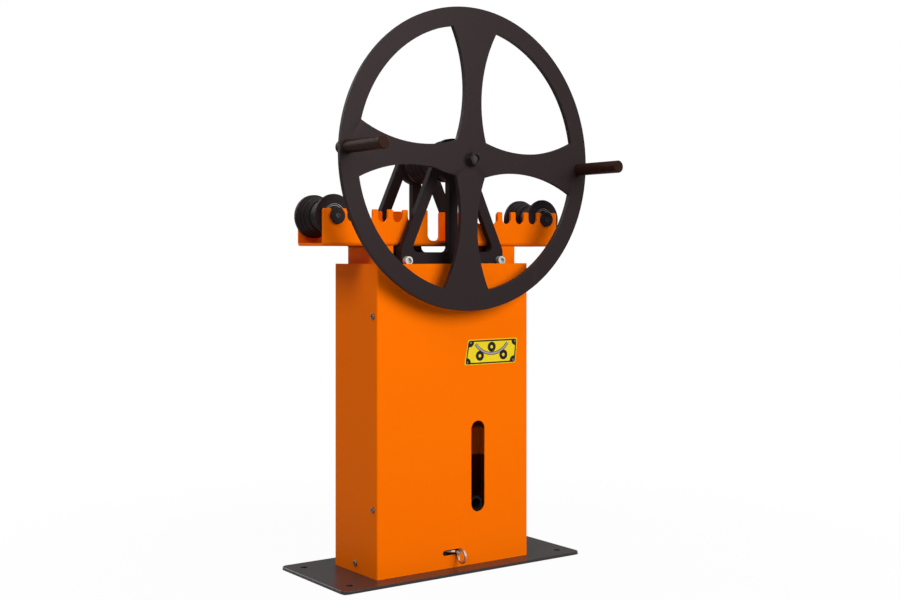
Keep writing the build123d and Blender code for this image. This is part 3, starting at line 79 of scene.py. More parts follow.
# Painted shade: black darkened further, for the lever socket inside the slot and the pads under the
# beam.
SHADED_BLACK = (0.008, 0.0065, 0.0065)
WARM_MIRRORED = (1.0, 0.82, 0.80)
BROWN_MIRRORED = (1.0, 0.56, 0.44)
WHITE = (1.0, 1.0, 1.0)
ROLLER_DARK = (0.0150, 0.0100, 0.0112)
ROLLER_TURNED = (0.060, 0.047, 0.043)
OILED_STEEL = (0.040, 0.034, 0.031)
OILED_STEEL_STAIN = (0.020, 0.016, 0.015)
ZINC = (0.60, 0.60, 0.58)
ZINC_TINT = (0.50, 0.50, 0.44)
DULL_ZINC = (0.26, 0.26, 0.255)
DULL_ZINC_TINT = (0.17, 0.17, 0.155)
BARE_STEEL = (0.46, 0.455, 0.44)
BARE_STEEL_STAIN = (0.24, 0.22, 0.20)
SPRING_STEEL = (0.20, 0.20, 0.21)
NYLON = (0.72, 0.70, 0.62)
BADGE_YELLOW = (0.87, 0.66, 0.015)
BADGE_INK = (0.012, 0.011, 0.012)
BADGE_SILVER = (0.50, 0.47, 0.52)
FLOOR_PALE = (0.36, 0.36, 0.36)


# ---- shader nodes -----------------------------------------------------------------------
class Value:
    """A socket whose arithmetic adds Math nodes."""

    def __init__(self, finish, socket):
        self.finish = finish
        self.socket = socket

    def math(self, operation, first, second=None):
        inputs = {0: first}
        if second is not None:
            inputs[1] = second
        return self.finish.node("ShaderNodeMath", {"operation": operation}, inputs)

    def __add__(self, other):
        return self.math("ADD", self, other)

    def __radd__(self, other):
        return self.math("ADD", other, self)

    def __sub__(self, other):
        return self.math("SUBTRACT", self, other)

    def __rsub__(self, other):
        return self.math("SUBTRACT", other, self)

    def __mul__(self, other):
        return self.math("MULTIPLY", self, other)

    def __pow__(self, other):
        return self.math("POWER", self, other)

    def smooth(self, low, high):
        """Nought below low, one above high, and a soft rise between them."""
        settings = {"interpolation_type": "SMOOTHSTEP"}
        inputs = {0: self, 1: low, 2: high, 3: 0.0, 4: 1.0}
        return self.finish.node("ShaderNodeMapRange", settings, inputs)

    def size(self):
        return self.math("ABSOLUTE", self)

    def clamped(self):
        return self.finish.node("ShaderNodeClamp", {}, {0: self, 1: 0.0, 2: 1.0})


class Finish:
    """A material, or the world, under construction."""

    def __init__(self, name, kind="materials"):
        self.material = getattr(bpy.data, kind).new(name)
        self.material.use_nodes = True
        self.tree = self.material.node_tree
        self.tree.nodes.clear()

    def node(self, kind, settings=None, inputs=None, output=0):
        made = self.tree.nodes.new(kind)
        for name, setting in (settings or {}).items():
            setattr(made, name, setting)
        for name, value in (inputs or {}).items():
            if isinstance(value, Value):
                self.tree.links.new(value.socket, made.inputs[name])
            else:
                made.inputs[name].default_value = value
        return Value(self, made.outputs[output]) if made.outputs else None

    def place(self):
        """Metres in the machine's own frame; it moves with the piece."""
        return self.node("ShaderNodeTexCoord", {}, {}, "Object")

    def along(self, place, axis):
        """One coordinate of a place: X, Y or Z."""
        return self.node("ShaderNodeSeparateXYZ", {}, {0: place}, axis)

    def ray(self, kind):
        """One where a ray of this kind meets the surface, nought elsewhere."""
        return self.node("ShaderNodeLightPath", {}, {}, f"Is {kind} Ray")

    def stretched(self, place, scale):
        return self.node("ShaderNodeMapping", {}, {"Vector": place, "Scale": scale})

    def noise(self, place, scale, detail=3.0, roughness=0.55):
        inputs = {"Vector": place, "Scale": scale, "Detail": detail, "Roughness": roughness}
        return self.node("ShaderNodeTexNoise", {}, inputs)

    def cells(self, place, scale):
        return self.node("ShaderNodeTexVoronoi", {}, {"Vector": place, "Scale": scale})

    def blend(self, amount, low, high):
        """Colour from low to high as amount goes from nought to one."""
        inputs = {0: amount, 6: self.colour(low), 7: self.colour(high)}
        return self.node("ShaderNodeMix", {"data_type": "RGBA"}, inputs, 2)

    def colour(self, value):
        if isinstance(value, Value):
            return value
        return (*value, 1.0)

    def bump(self, height, strength, distance, under=None):
        inputs = {"Height": height, "Strength": strength, "Distance": distance}
        if under is not None:
            inputs["Normal"] = under
        return self.node("ShaderNodeBump", {}, inputs)

    def surface(self, **sockets):
        inputs = {name.replace("_", " "): value for name, value in sockets.items()}
        for name in ("Base Color", "Specular Tint"):
            if name in inputs:
                inputs[name] = self.colour(inputs[name])
        shader = self.node("ShaderNodeBsdfPrincipled", {}, inputs)
        self.node("ShaderNodeOutputMaterial", {}, {"Surface": shader})
        return self.material


def powder_coat(name, colour, worn, roughness, gloss, mirrored, peel):
    """Oven-baked powder paint: a faint orange peel, soft clouds and a few rubbed patches."""
    paint = Finish(name)
    place = paint.place()
    clouds = paint.noise(place, 7.0, 4.0)
    rubs = paint.noise(paint.stretched(place, (22.0, 22.0, 5.0)), 1.0, 5.0, 0.65)
    rubbed = rubs.smooth(0.60, 0.78) * 0.35
    speckle = paint.noise(place, 900.0, 1.0)
    tone = (clouds - 0.5) * 0.12 + (speckle - 0.5) * 0.05 + rubbed * 0.5
    grain = paint.noise(place, 380.0, 2.0)
    fine = paint.noise(place, 1500.0, 1.0)
    height = grain * 0.75 + fine * 0.25
    return paint.surface(
        Base_Color=paint.blend((tone + 0.12).clamped(), colour, worn),
        Roughness=(clouds - 0.5) * 0.10 + rubbed * 0.25 + roughness,
        Specular_IOR_Level=gloss,
        Specular_Tint=mirrored,
        Normal=paint.bump(height, peel, 0.0006),
    )


def zinc_plating(name, colour, tint, roughness, metallic=1.0):
    """Plating with a slightly yellow, cloudy bloom."""
    plate = Finish(name)
    place = plate.place()
    bloom = plate.noise(place, 160.0, 3.0)
    grain = plate.cells(place, 900.0)
    return plate.surface(
        Base_Color=plate.blend(bloom.smooth(0.35, 0.7), colour, tint),
        Metallic=metallic,
        Roughness=bloom * 0.18 + grain * 0.08 + roughness,
        Normal=plate.bump(bloom, 0.12, 0.0004),
    )


def turned_steel(name, colour, stain, roughness, groove_depth, axis, metallic=1.0):
    """Lathe-turned surface: fine grooves that run around an axis, with uneven staining."""
    steel = Finish(name)
    place = steel.place()
    squeeze = {"X": (1.0, 0.02, 0.02), "Y": (0.02, 1.0, 0.02), "Z": (0.02, 0.02, 1.0)}[axis]
    grooves = steel.noise(steel.stretched(place, squeeze), 2600.0, 2.0)
    stains = steel.noise(place, 45.0, 5.0, 0.6)
    stained = stains.smooth(0.45, 0.75)
    return steel.surface(
        Base_Color=steel.blend((stained * 0.75 + grooves * 0.25).clamped(), colour, stain),
        Metallic=metallic,
        Roughness=stained * 0.16 + grooves * 0.10 + roughness,
        Normal=steel.bump(grooves, groove_depth, 0.0004),
    )


def rolled_steel(name, colour, bright):
    """Blackened, turned roller: nearly black, with a few lighter scuffs."""
    steel = Finish(name)
    place = steel.place()
    grooves = steel.noise(steel.stretched(place, (0.02, 1.0, 0.02)), 2200.0, 2.0)
    scuffs = steel.noise(place, 60.0, 5.0, 0.65).smooth(0.5, 0.8)
    shine = (scuffs * 0.30 + grooves * 0.12).clamped()
    return steel.surface(
        Base_Color=steel.blend(shine, colour, bright),
        Specular_IOR_Level=0.10,
        Specular_Tint=WARM_MIRRORED,
        Roughness=scuffs * 0.12 + grooves * 0.08 + 0.42,
        Normal=steel.bump(grooves, 0.25, 0.0004),
    )


RACE_WALL = 3.4 * MM         # from a race's outside to its inner edge
RACE_EDGE = 1.2 * MM         # bright part of each edge


def bearing_face(name, colour, edge_colour):
    """Side rollers' bearings: dark shields, with bright edges on each outer race."""
    face = Finish(name)
    place = face.place()
    low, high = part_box("left_outer_races")
    across = face.along(place, "X").size() - abs(low.x + high.x) / 2
    up = face.along(place, "Z") - (low.z + high.z) / 2
    reach = (across * across + up * up) ** 0.5
    outer = (high.z - low.z) / 2
    rim = reach.smooth(outer - RACE_EDGE, outer - RACE_EDGE / 2)
    inner = outer - RACE_WALL
    lip = reach.smooth(inner - RACE_EDGE, inner - RACE_EDGE / 2)
    lip = lip * (1.0 - reach.smooth(inner, inner + RACE_EDGE / 2))
    clouds = face.noise(place, 90.0)
    return face.surface(
        Base_Color=face.blend((rim + lip).clamped(), colour, edge_colour),
        Roughness=clouds * 0.1 + 0.40,
        Specular_IOR_Level=0.12,
        Specular_Tint=WARM_MIRRORED,
    )


def moulded_nylon(name):
    nylon = Finish(name)
    place = nylon.place()
    clouds = nylon.noise(place, 30.0)
    return nylon.surface(
        Base_Color=nylon.blend(clouds, NYLON, tuple(0.9 * part for part in NYLON)),
        Roughness=clouds * 0.1 + 0.42,
        Subsurface_Weight=0.08,
        Normal=nylon.bump(nylon.noise(place, 700.0), 0.1, 0.0003),
    )


def printed_sheet(name, colour, roughness, metallic=0.0):
    """Printed or anodised thin sheet with a faint brushed grain."""
    sheet = Finish(name)
    place = sheet.place()
    grain = sheet.noise(sheet.stretched(place, (0.05, 1.0, 1.0)), 1800.0, 1.0)
    dull = sheet.noise(place, 60.0)
    return sheet.surface(
        Base_Color=sheet.blend(dull, colour, tuple(0.86 * part for part in colour)),
        Metallic=metallic,
        Roughness=grain * 0.08 + dull * 0.06 + roughness,
        Specular_IOR_Level=0.15,
        Normal=sheet.bump(grain, 0.08, 0.0002),
    )


FLOOR_GLOW_SEEN = 0.97
FLOOR_FADE = (0.45, 1.3)     # metres from the machine's middle
FLOOR_GLOW_MIRRORED = 0.20
FLOOR_DIM_EDGE = 4 * MM      # the floor's glow ends this far under the base plate


def pale_floor(name):
    """Grey floor that glows nearly pure white for the camera and a little in shiny metal."""
    floor = Finish(name)
    seen, mirrored = floor.ray("Camera"), floor.ray("Glossy")
    place = floor.place()
    clouds = floor.noise(place, 3.0)
    colour = floor.blend(clouds, FLOOR_PALE, tuple(0.985 * part for part in FLOOR_PALE))
    matt = floor.node("ShaderNodeBsdfDiffuse", {}, {"Color": colour, "Roughness": 0.4})
    glow = floor.node("ShaderNodeEmission", {}, {"Color": floor.colour(WHITE), "Strength": 1.0})
    reach = floor.node("ShaderNodeVectorMath", {"operation": "LENGTH"}, {0: place}, "Value")
    away = reach.smooth(*FLOOR_FADE)
    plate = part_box("base_plate")[1]
    beside = floor.along(place, "X").size().smooth(plate.x - FLOOR_DIM_EDGE, plate.x)
    before = floor.along(place, "Y").size().smooth(plate.y - FLOOR_DIM_EDGE, plate.y)
    shown = FLOOR_GLOW_SEEN + away * (1.0 - FLOOR_GLOW_SEEN)
    share = (seen * shown + mirrored * FLOOR_GLOW_MIRRORED) * (beside + before).clamped()
    mixed = floor.node("ShaderNodeMixShader", {}, {0: share, 1: matt, 2: glow})
    floor.node("ShaderNodeOutputMaterial", {}, {"Surface": mixed})
    return floor.material


orange = powder_coat("orange powder coat", ORANGE, ORANGE_WORN, 0.38, 0.035, ORANGE_MIRRORED, 0.10)
# Painted shade: darker orange for the column welds under the beam.
shaded_orange = powder_coat(
    "orange darkened as painted shade in joints", ORANGE_PAINTED_SHADE, ORANGE, 0.50, 0.035, ORANGE_MIRRORED, 0.10
)
# Painted light: paler orange for the crosshead behind the slot.
painted_light_orange = powder_coat(
    "orange powder coat with painted light", ORANGE_PAINTED_LIGHT, ORANGE_WORN, 0.45, 0.035, ORANGE_MIRRORED, 0.10
)
black = powder_coat(
    "black satin powder coat", BLACK_PAINT, BLACK_PAINT_WORN, 0.40, 0.10, WARM_MIRRORED, 0.16
)
plate_black = powder_coat(
    "base plate powder coat", BLACK_PAINT, BLACK_PAINT_WORN, 0.30, 0.62, WHITE, 0.14
)
frame_black = powder_coat(
    "black frame coat", BLACK_PAINT, BLACK_PAINT_WORN, 0.46, 0.04, WARM_MIRRORED, 0.16
)
handle_brown = powder_coat(
    "browned handle steel", HANDLE_BROWN, HANDLE_BROWN_WORN, 0.44, 0.10, BROWN_MIRRORED, 0.12
)
# Painted shade: darker black for the lever socket and the stop pads.
shaded_black = powder_coat(
    "black paint darkened as painted shade", SHADED_BLACK, BLACK_PAINT, 0.60, 0.08, WARM_MIRRORED, 0.16
)
zinc = zinc_plating("zinc plating", ZINC, ZINC_TINT, 0.20)
screw_zinc = zinc_plating("matt zinc plating", ZINC, ZINC_TINT, 0.34, 0.55)
dull_zinc = zinc_plating("dulled zinc plating", DULL_ZINC, DULL_ZINC_TINT, 0.30)
# Dark steel; on the roller shaft it is also painted shade, darkening the stud end inside the wheel
# nut.
oiled_steel = turned_steel("oiled dark steel", OILED_STEEL, OILED_STEEL_STAIN, 0.34, 0.15, "Y", 0.6)
turned_y = turned_steel("turned steel across", BARE_STEEL, BARE_STEEL_STAIN, 0.24, 0.2, "Y")
turned_z = turned_steel("ground steel upright", BARE_STEEL, BARE_STEEL_STAIN, 0.18, 0.1, "Z")
roller_steel = rolled_steel("blackened roller steel", ROLLER_DARK, ROLLER_TURNED)
spring_steel = turned_steel("spring wire", SPRING_STEEL, BARE_STEEL_STAIN, 0.3, 0.1, "Z")
race_face = bearing_face("bearing face", ROLLER_DARK, BARE_STEEL)
nylon = moulded_nylon("natural nylon")
badge_yellow = printed_sheet("yellow printed plate", BADGE_YELLOW, 0.32)
badge_ink = printed_sheet("black print", BADGE_INK, 0.35)
badge_silver = printed_sheet("silver print", BADGE_SILVER, 0.30, 0.6)

NODE_FINISHES = {
    "base_plate": plate_black, "casing_cover": orange, "rear_cover": orange,
    "cover_brackets": black,
    "cover_standoffs": zinc, "cover_screws": dull_zinc, "badge_plate": badge_yellow,
    "badge_rivets": dull_zinc, "front_a_plate": frame_black, "rear_a_plate": frame_black,
    "a_plate_screws": screw_zinc, "uprights": black, "guide_pads": nylon,
    "shaft_outer_races": turned_y, "lower_spring_studs": black, "left_return_spring": spring_steel,
    "right_return_spring": spring_steel, "jack_base": black, "jack_screws": zinc,
    "jack_reservoir": black, "jack_cylinder": turned_z, "jack_top_cap": black,
    "pump_barrel": turned_z, "fulcrum_post": black, "fulcrum_pin": zinc, "valve_body": black,
    # The roller shaft's dark steel is painted shade on its stud end in the wheel nut's hole.
    "roller_shaft": oiled_steel, "shaft_keys": turned_y, "shaft_spacers": zinc,
    "shaft_inner_races": turned_y, "shaft_balls": turned_y, "top_sleeve": roller_steel,
    "top_rings": roller_steel, "wheel_hub": black, "handwheel": black,
    "wheel_handles": handle_brown,
    "wheel_washer": black, "wheel_nut": black, "beam": orange, "left_column": orange,
    # The crosshead's paler orange is painted light where it shows through the slot.
    "right_column": orange, "crosshead": painted_light_orange, "upper_spring_studs": black,
    "side_axles": turned_y, "axle_caps": roller_steel, "axle_cap_screws": oiled_steel,
    "side_inner_races": oiled_steel, "side_balls": turned_y, "jack_ram": turned_z,
    "jack_saddle": roller_steel, "left_roller_sleeve": roller_steel,
    "left_roller_rings": roller_steel, "left_outer_races": race_face,
    "right_roller_sleeve": roller_steel, "right_roller_rings": roller_steel,
    # The lever socket's darker black is painted shade inside the casing's slot.
    "right_outer_races": race_face, "lever_socket": shaded_black, "pump_plunger": turned_z,
    "release_lever": zinc, "pull_ring": zinc,
}


# ---- meshes -----------------------------------------------------------------------------
# Degrees; edges that turn more than this stay crisp.
SOLID_CREASE = 30
PRISM_CREASE = 40
WIRE_CREASE = 50
RING_CREASE = 60
MERGE_DISTANCE = 0.002 * MM
FLAT_ANGLE = math.radians(0.6)           # faces nearer to flat than this are joined
EASED_ANGLE = math.radians(35)           # edges sharper than this are rounded
EASED_SEGMENTS = 2


def make_piece(name, mesh, finish, body, slot):
    piece = bpy.data.objects.new(name, mesh)
    bpy.context.scene.collection.objects.link(piece)
    piece.data.materials.clear()
    piece.data.materials.append(finish)
    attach(piece, body)
    return piece


def shade_by_angle(mesh, degrees):
    """Smooth shading that keeps edges sharper than this angle crisp."""
    for polygon in mesh.polygons:
        polygon.use_smooth = True
    mesh.set_sharp_from_angle(angle=math.radians(degrees))


def body_of(node):
    return frame["nodes"][node]["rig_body"]


def slot_of(node):
    for row in frame["record"]["subparts"]:
        if row["node"] == node:
            return row["material_slot"]
    return None


def ease_edges(node, width):
    """The node's own shape again, with its edges rounded as paint and deburring leave them."""
    mesh = frame["nodes"][node].data.copy()
    work = bmesh.new()
    work.from_mesh(mesh)
    bmesh.ops.remove_doubles(work, verts=work.verts, dist=MERGE_DISTANCE)
    bmesh.ops.dissolve_limit(
        work, angle_limit=FLAT_ANGLE, use_dissolve_boundaries=False,
        verts=work.verts, edges=work.edges,
    )
    work.to_mesh(mesh)
    work.free()
    piece = make_piece(node + "_eased", mesh, NODE_FINISHES[node], body_of(node), slot_of(node))
    rounding = piece.modifiers.new("eased edges", "BEVEL")
    rounding.width = width
    rounding.segments = EASED_SEGMENTS
    rounding.limit_method = "ANGLE"
    rounding.angle_limit = EASED_ANGLE
    rounding.harden_normals = True
    rounding.miter_outer = "MITER_ARC"
    rounding.use_clamp_overlap = True
    shade_by_angle(piece.data, SOLID_CREASE)
    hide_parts(node)
    return piece


def close_mesh(work, mesh, crease):
    """Write the shape to the mesh, facing outwards, with its sharper edges kept crisp."""
    bmesh.ops.recalc_face_normals(work, faces=work.faces)
    work.to_mesh(mesh)
    work.free()
    shade_by_angle(mesh, crease)


def ring_mesh(name, sections):
    """Closed loft through a loop of equal-length cross sections."""
    mesh = bpy.data.meshes.new(name)
    count = len(sections)
    size = len(sections[0])
    points = [point for section in sections for point in section]
    faces = []
    for i in range(count):
        ahead = (i + 1) % count
        for j in range(size):
            across = (j + 1) % size
            faces.append((i * size + j, ahead * size + j, ahead * size + across, i * size + across))
    mesh.from_pydata(points, [], faces)
    mesh.validate()
    work = bmesh.new()
    work.from_mesh(mesh)
    close_mesh(work, mesh, RING_CREASE)
    return mesh


WELD_RIPPLE = 1.7 * MM       # length of one ripple along a weld
WELD_STEPS = 5               # sections to a ripple
WELD_SIDES = 8
WELD_LOWEST = 0.82           # share of the bead's radius at the start of a ripple
WELD_RISE = 0.26             # share gained along the ripple


def weld_bead(name, corner, length, radius, finish, body, slot):
    """Rippled fillet weld along a closed path. corner(distance) gives a point and two directions
    that lead away from the joint into open air."""
    count = int(length / WELD_RIPPLE) * WELD_STEPS
    sections = []
    for i in range(count):
        point, first, second = corner(length * i / count)
        phase = (i % WELD_STEPS) / WELD_STEPS
        swell = WELD_LOWEST + WELD_RISE * phase
        section = []
        for j in range(WELD_SIDES):
            turn = 2 * math.pi * j / WELD_SIDES
            lift = radius * swell
            offset = first * math.cos(turn) * lift + second * math.sin(turn) * lift
            section.append(point + offset)
        sections.append(section)
    return make_piece(name, ring_mesh(name, sections), finish, body, slot)


def round_joint(centre, radius, face, outward):
    """Corner of a weld around a bar along Y that meets a flat face; outward is the air's side."""
    def corner(distance):
        turn = distance / radius
        spoke = Vector((math.cos(turn), 0.0, math.sin(turn)))
        point = Vector((centre[0], face, centre[1])) + spoke * radius
        return point, spoke, Vector((0.0, outward, 0.0))
    return corner, 2 * math.pi * radius


def tube_joint(low, high, round_corner, height, downward):
    """Corner of a weld around a rectangular tube that meets a flat face above or below it."""
    width, depth = high[0] - low[0], high[1] - low[1]
    straight = (width - 2 * round_corner, depth - 2 * round_corner)
    arc = math.pi * round_corner / 2
    legs = (straight[0], arc, straight[1], arc) * 2
    starts = [
        (low[0] + round_corner, low[1]), (high[0], low[1] + round_corner),
        (high[0] - round_corner, high[1]), (low[0], high[1] - round_corner),
    ]

    def corner(distance):
        side = 0
        while distance > legs[side % 8] and side < 7:
            distance -= legs[side]
            side += 1
        quarter = side // 2
        heading = Vector((math.cos(quarter * math.pi / 2), math.sin(quarter * math.pi / 2), 0.0))
        outward = Vector((heading.y, -heading.x, 0.0))
        start = Vector((*starts[quarter], height))
        if side % 2 == 0:
            point = start + heading * distance
        else:
            middle = start + heading * straight[quarter % 2] - outward * round_corner
            turn = distance / round_corner
            outward = outward * math.cos(turn) + heading * math.sin(turn)
            point = middle + outward * round_corner
        return point, outward, Vector((0.0, 0.0, downward))
    return corner, sum(legs)


def prism(name, outline, near, far):
    """Flat piece with this outline in X and Z, between two Y positions."""
    mesh = bpy.data.meshes.new(name)
    work = bmesh.new()
    front = [work.verts.new((x, near, z)) for x, z in outline]
    face = work.faces.new(front)
    pushed = bmesh.ops.extrude_face_region(work, geom=[face])
    moved = [item for item in pushed["geom"] if isinstance(item, bmesh.types.BMVert)]
    bmesh.ops.translate(work, verts=moved, vec=(0.0, far - near, 0.0))
    close_mesh(work, mesh, PRISM_CREASE)
    return mesh


def band(name, outer, inner, near, far):
    """Flat closed band between two outlines of equal length in X and Z."""
    sections = []
    for (x0, z0), (x1, z1) in zip(outer, inner):
        sections.append([
            Vector((x0, near, z0)), Vector((x1, near, z1)),
            Vector((x1, far, z1)), Vector((x0, far, z0)),
        ])
    return ring_mesh(name, sections)


def disc_outline(centre, radius, count=40):
    x, z = centre
    turns = [2 * math.pi * i / count for i in range(count)]
    return [(x + radius * math.cos(turn), z + radius * math.sin(turn)) for turn in turns]


# ---- eased copies of the plates, tubes and turned pieces -----------------------------------
EASED = {
    "handwheel": 0.9, "front_a_plate": 0.9, "rear_a_plate": 0.9, "beam": 0.8,
    "crosshead": 0.7, "casing_cover": 0.45, "rear_cover": 0.4,
    "cover_brackets": 0.5, "uprights": 0.5, "badge_plate": 0.25,
    "lever_socket": 0.6, "fulcrum_post": 0.6, "valve_body": 0.6, "left_roller_rings": 0.35,
    "right_roller_rings": 0.35, "top_rings": 0.35, "axle_caps": 0.5, "base_plate": 0.5,
}


# ---- welds --------------------------------------------------------------------------------
COLUMN_CORNER = 3 * MM
COLUMN_WELD = 2.4 * MM
HUB_WELD = 2.8 * MM
HANDLE_WELD = 2.0 * MM


def weld_columns_to_beam():
    """Around each column's sides, and along the beam's faces where the column stands past them."""
    front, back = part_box("beam")
    for node in ("left_column", "right_column"):
        low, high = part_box(node)
        low.y, high.y = front.y, back.y
        corner, length = tube_joint(low, high, COLUMN_CORNER, front.z, -1.0)
        # Painted shade: the welds take the darker orange for the dark gap under the beam.
        finish, slot = shaded_orange, "orange_paint"
        weld_bead(node + "_weld", corner, length, COLUMN_WELD, finish, "carriage", slot)


def weld_hub_to_wheel():
    low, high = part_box("wheel_hub")
    centre = ((low.x + high.x) / 2, (low.z + high.z) / 2)
    corner, length = round_joint(centre, (high.x - low.x) / 2, low.y, 1.0)
    weld_bead("wheel_hub_weld", corner, length, HUB_WELD, black, "top_shaft", "black_paint")


def handle_centres():
    """Left and right handle positions in X and Z, and their radius."""
    points = [vertex.co for vertex in frame["nodes"]["wheel_handles"].data.vertices]
    centres = []
    for side in (-1, 1):
        own = [point for point in points if point.x * side > 0]
        xs = [point.x for point in own]
        zs = [point.z for point in own]
        centres.append(((min(xs) + max(xs)) / 2, (min(zs) + max(zs)) / 2))
        radius = (max(xs) - min(xs)) / 2
    return centres, radius


def weld_handles():
    low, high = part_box("handwheel")
    centres, radius = handle_centres()
    for name, centre in zip(("left", "right"), centres):
        for where, face, outward in (("front", low.y, -1.0), ("back", high.y, 1.0)):
            corner, length = round_joint(centre, radius, face, outward)
            title = name + "_handle_" + where + "_weld"
            weld_bead(title, corner, length, HANDLE_WELD, black, "top_shaft", "black_paint")


STOP_PAD_GAP = 0.1 * MM      # left between a pad and the lowered beam


def stop_pads():
    """Black pads on the tops of the uprights, just under the lowered beam."""
    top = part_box("beam")[0].z - STOP_PAD_GAP
    low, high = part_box("uprights")
    points = [vertex.co for vertex in frame["nodes"]["uprights"].data.vertices]
    inner_x = min(abs(point.x) for point in points)
    middle_y = (low.y + high.y) / 2
    inner_y = min(abs(point.y - middle_y) for point in points)
    for x_name, x_side in (("left", -1), ("right", 1)):
        near_x, far_x = x_side * inner_x, x_side * high.x
        outline = [(near_x, high.z), (far_x, high.z), (far_x, top), (near_x, top)]
        for y_name, y_side in (("front", -1), ("rear", 1)):
            outer_y = high.y - middle_y
            near, far = sorted((middle_y + y_side * inner_y, middle_y + y_side * outer_y))
            mesh = prism("stop_pad", outline, near, far)
            # Painted shade: the pads take the darker black for the gap under the beam.
            make_piece(f"{x_name}_{y_name}_stop_pad", mesh, shaded_black, "frame", "black_paint")


# ---- badge --------------------------------------------------------------------------------
BADGE_END_BAND = 6 * MM       # height at its top and bottom where the plate's slant is read
BADGE_BORDER_INSET = 1.6 * MM
BADGE_BORDER_WIDTH = 2.9 * MM
BADGE_BORDER_ROUND = 5.0 * MM
BADGE_CORNER_INK = 10.5 * MM  # radius of the inked corner around each rivet
INK_THICKNESS = 0.12 * MM
INK_SUNK = 0.02 * MM
PICTOGRAM_ROLLER = 10.2 * MM
PICTOGRAM_HOLE = 3.4 * MM
PICTOGRAM_BAR = 3.4 * MM
PICTOGRAM_LINE = 1.3 * MM    # ink along both sides of the bar
SIDE_ROLLER = (30.0 * MM, -7.5 * MM)
TOP_ROLLER_UP = 9.5 * MM
BAR_BEND_RADIUS = 50 * MM
BAR_HALF_ANGLE = math.radians(54)
BAR_LOWEST = -3.8 * MM
BAR_STEPS = 32


def badge_corners():
    """The badge's four corners in X and Z, from its own mesh, anticlockwise from bottom left."""
    points = [vertex.co for vertex in frame["nodes"]["badge_plate"].data.vertices]
    low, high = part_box("badge_plate")
    slant_left = min(point.x for point in points if point.z > high.z - BADGE_END_BAND) - low.x
    slant_right = high.x - max(point.x for point in points if point.z < low.z + BADGE_END_BAND)
    return [
        Vector((low.x, low.z)), Vector((high.x - slant_right, low.z)),
        Vector((high.x, high.z)), Vector((low.x + slant_left, high.z)),
    ]


CORNER_STEPS = 8


def inset_corners(corners, inset):
    """Each corner moved inwards, with the directions of the two sides that leave it."""
    middle = sum(corners, Vector((0.0, 0.0))) / 4
    shrunk = []
    for corner in corners:
        across = math.copysign(inset, middle.x - corner.x)
        up = math.copysign(inset, middle.y - corner.y)
        shrunk.append(corner + Vector((across, up)))
    for index, corner in enumerate(shrunk):
        before = (shrunk[index - 1] - corner).normalized()
        after = (shrunk[(index + 1) % 4] - corner).normalized()
        yield corner, before, after


def rounded_outline(corners, inset, reach):
    """Outline inside the corners; each is rounded over this length of both its sides."""
    outline = []
    for corner, before, after in inset_corners(corners, inset):
        for step in range(CORNER_STEPS + 1):
            share = step / CORNER_STEPS
            point = corner + before * reach * (1 - share) ** 2 + after * reach * share ** 2
            outline.append((point.x, point.y))
    return outline


def scooped_outline(corners, inset, scoop):
    """Outline inside the corners, with each corner scooped out around its rivet."""
    outline = []
    for corner, before, after in inset_corners(corners, inset):
        start = math.atan2(before.y, before.x)
        swing = (math.atan2(after.y, after.x) - start + math.pi) % (2 * math.pi) - math.pi
        for step in range(CORNER_STEPS + 1):
            turn = start + swing * step / CORNER_STEPS
            outline.append((corner.x + math.cos(turn) * scoop, corner.y + math.sin(turn) * scoop))
    return outline


def ink(name, mesh, finish):
    make_piece(name, mesh, finish, "frame", "badge_yellow")


def print_badge():
    """Black border with inked corners, and a pictogram of a bar bent between three rollers."""
    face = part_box("badge_plate")[0].y
    near, far = face - INK_THICKNESS, face + INK_SUNK
    corners = badge_corners()
    outer = rounded_outline(corners, BADGE_BORDER_INSET, BADGE_BORDER_ROUND)
    inner = scooped_outline(corners, BADGE_BORDER_INSET + BADGE_BORDER_WIDTH, BADGE_CORNER_INK)
    ink("badge_border", band("badge_border", outer, inner, near, far), badge_ink)
    middle = sum(corners, Vector((0.0, 0.0))) / 4
    across, up = SIDE_ROLLER
    for number, (x, z) in enumerate(((-across, up), (0.0, TOP_ROLLER_UP), (across, up)), 1):
        centre = (middle.x + x, middle.y + z)
        rim, hole = disc_outline(centre, PICTOGRAM_ROLLER), disc_outline(centre, PICTOGRAM_HOLE)
        ink(f"badge_roller_{number}", band("badge_roller", rim, hole, near, far), badge_ink)
    lines = bent_bar(middle, PICTOGRAM_BAR + 2 * PICTOGRAM_LINE)
    ink("badge_bar_lines", prism("badge_bar_lines", lines, near - INK_THICKNESS, far), badge_ink)
    bar = prism("badge_bar", bent_bar(middle, PICTOGRAM_BAR), near - 2 * INK_THICKNESS, far)
    ink("badge_bar", bar, badge_silver)


def bent_bar(middle, thickness):
    """Outline of the curved bar between the pictogram's rollers."""
    centre = Vector((middle.x, middle.y + BAR_LOWEST + BAR_BEND_RADIUS))
    outer, inner = [], []
    for step in range(BAR_STEPS + 1):
        turn = -math.pi / 2 - BAR_HALF_ANGLE + 2 * BAR_HALF_ANGLE * step / BAR_STEPS
        ray = Vector((math.cos(turn), math.sin(turn)))
        outer.append(centre + ray * (BAR_BEND_RADIUS + thickness / 2))
        inner.append(centre + ray * (BAR_BEND_RADIUS - thickness / 2))
    return [(point.x, point.y) for point in outer + inner[::-1]]


# ---- split ring ---------------------------------------------------------------------------
SPLIT_RING_TURNS = 2
SPLIT_RING_STEPS = 96
SPLIT_RING_GAP = 0.12 * MM
SPLIT_RING_START = math.radians(200)     # where the wire's first end lies
SPLIT_RING_FLATNESS = 0.98               # wire thickness, as a share of the ring's width
CROSSING = (0.42, 0.16)                  # start and length of the crossing, as shares of the wire
WIRE_CORNERS = 12
WIRE_SQUARENESS = 0.6


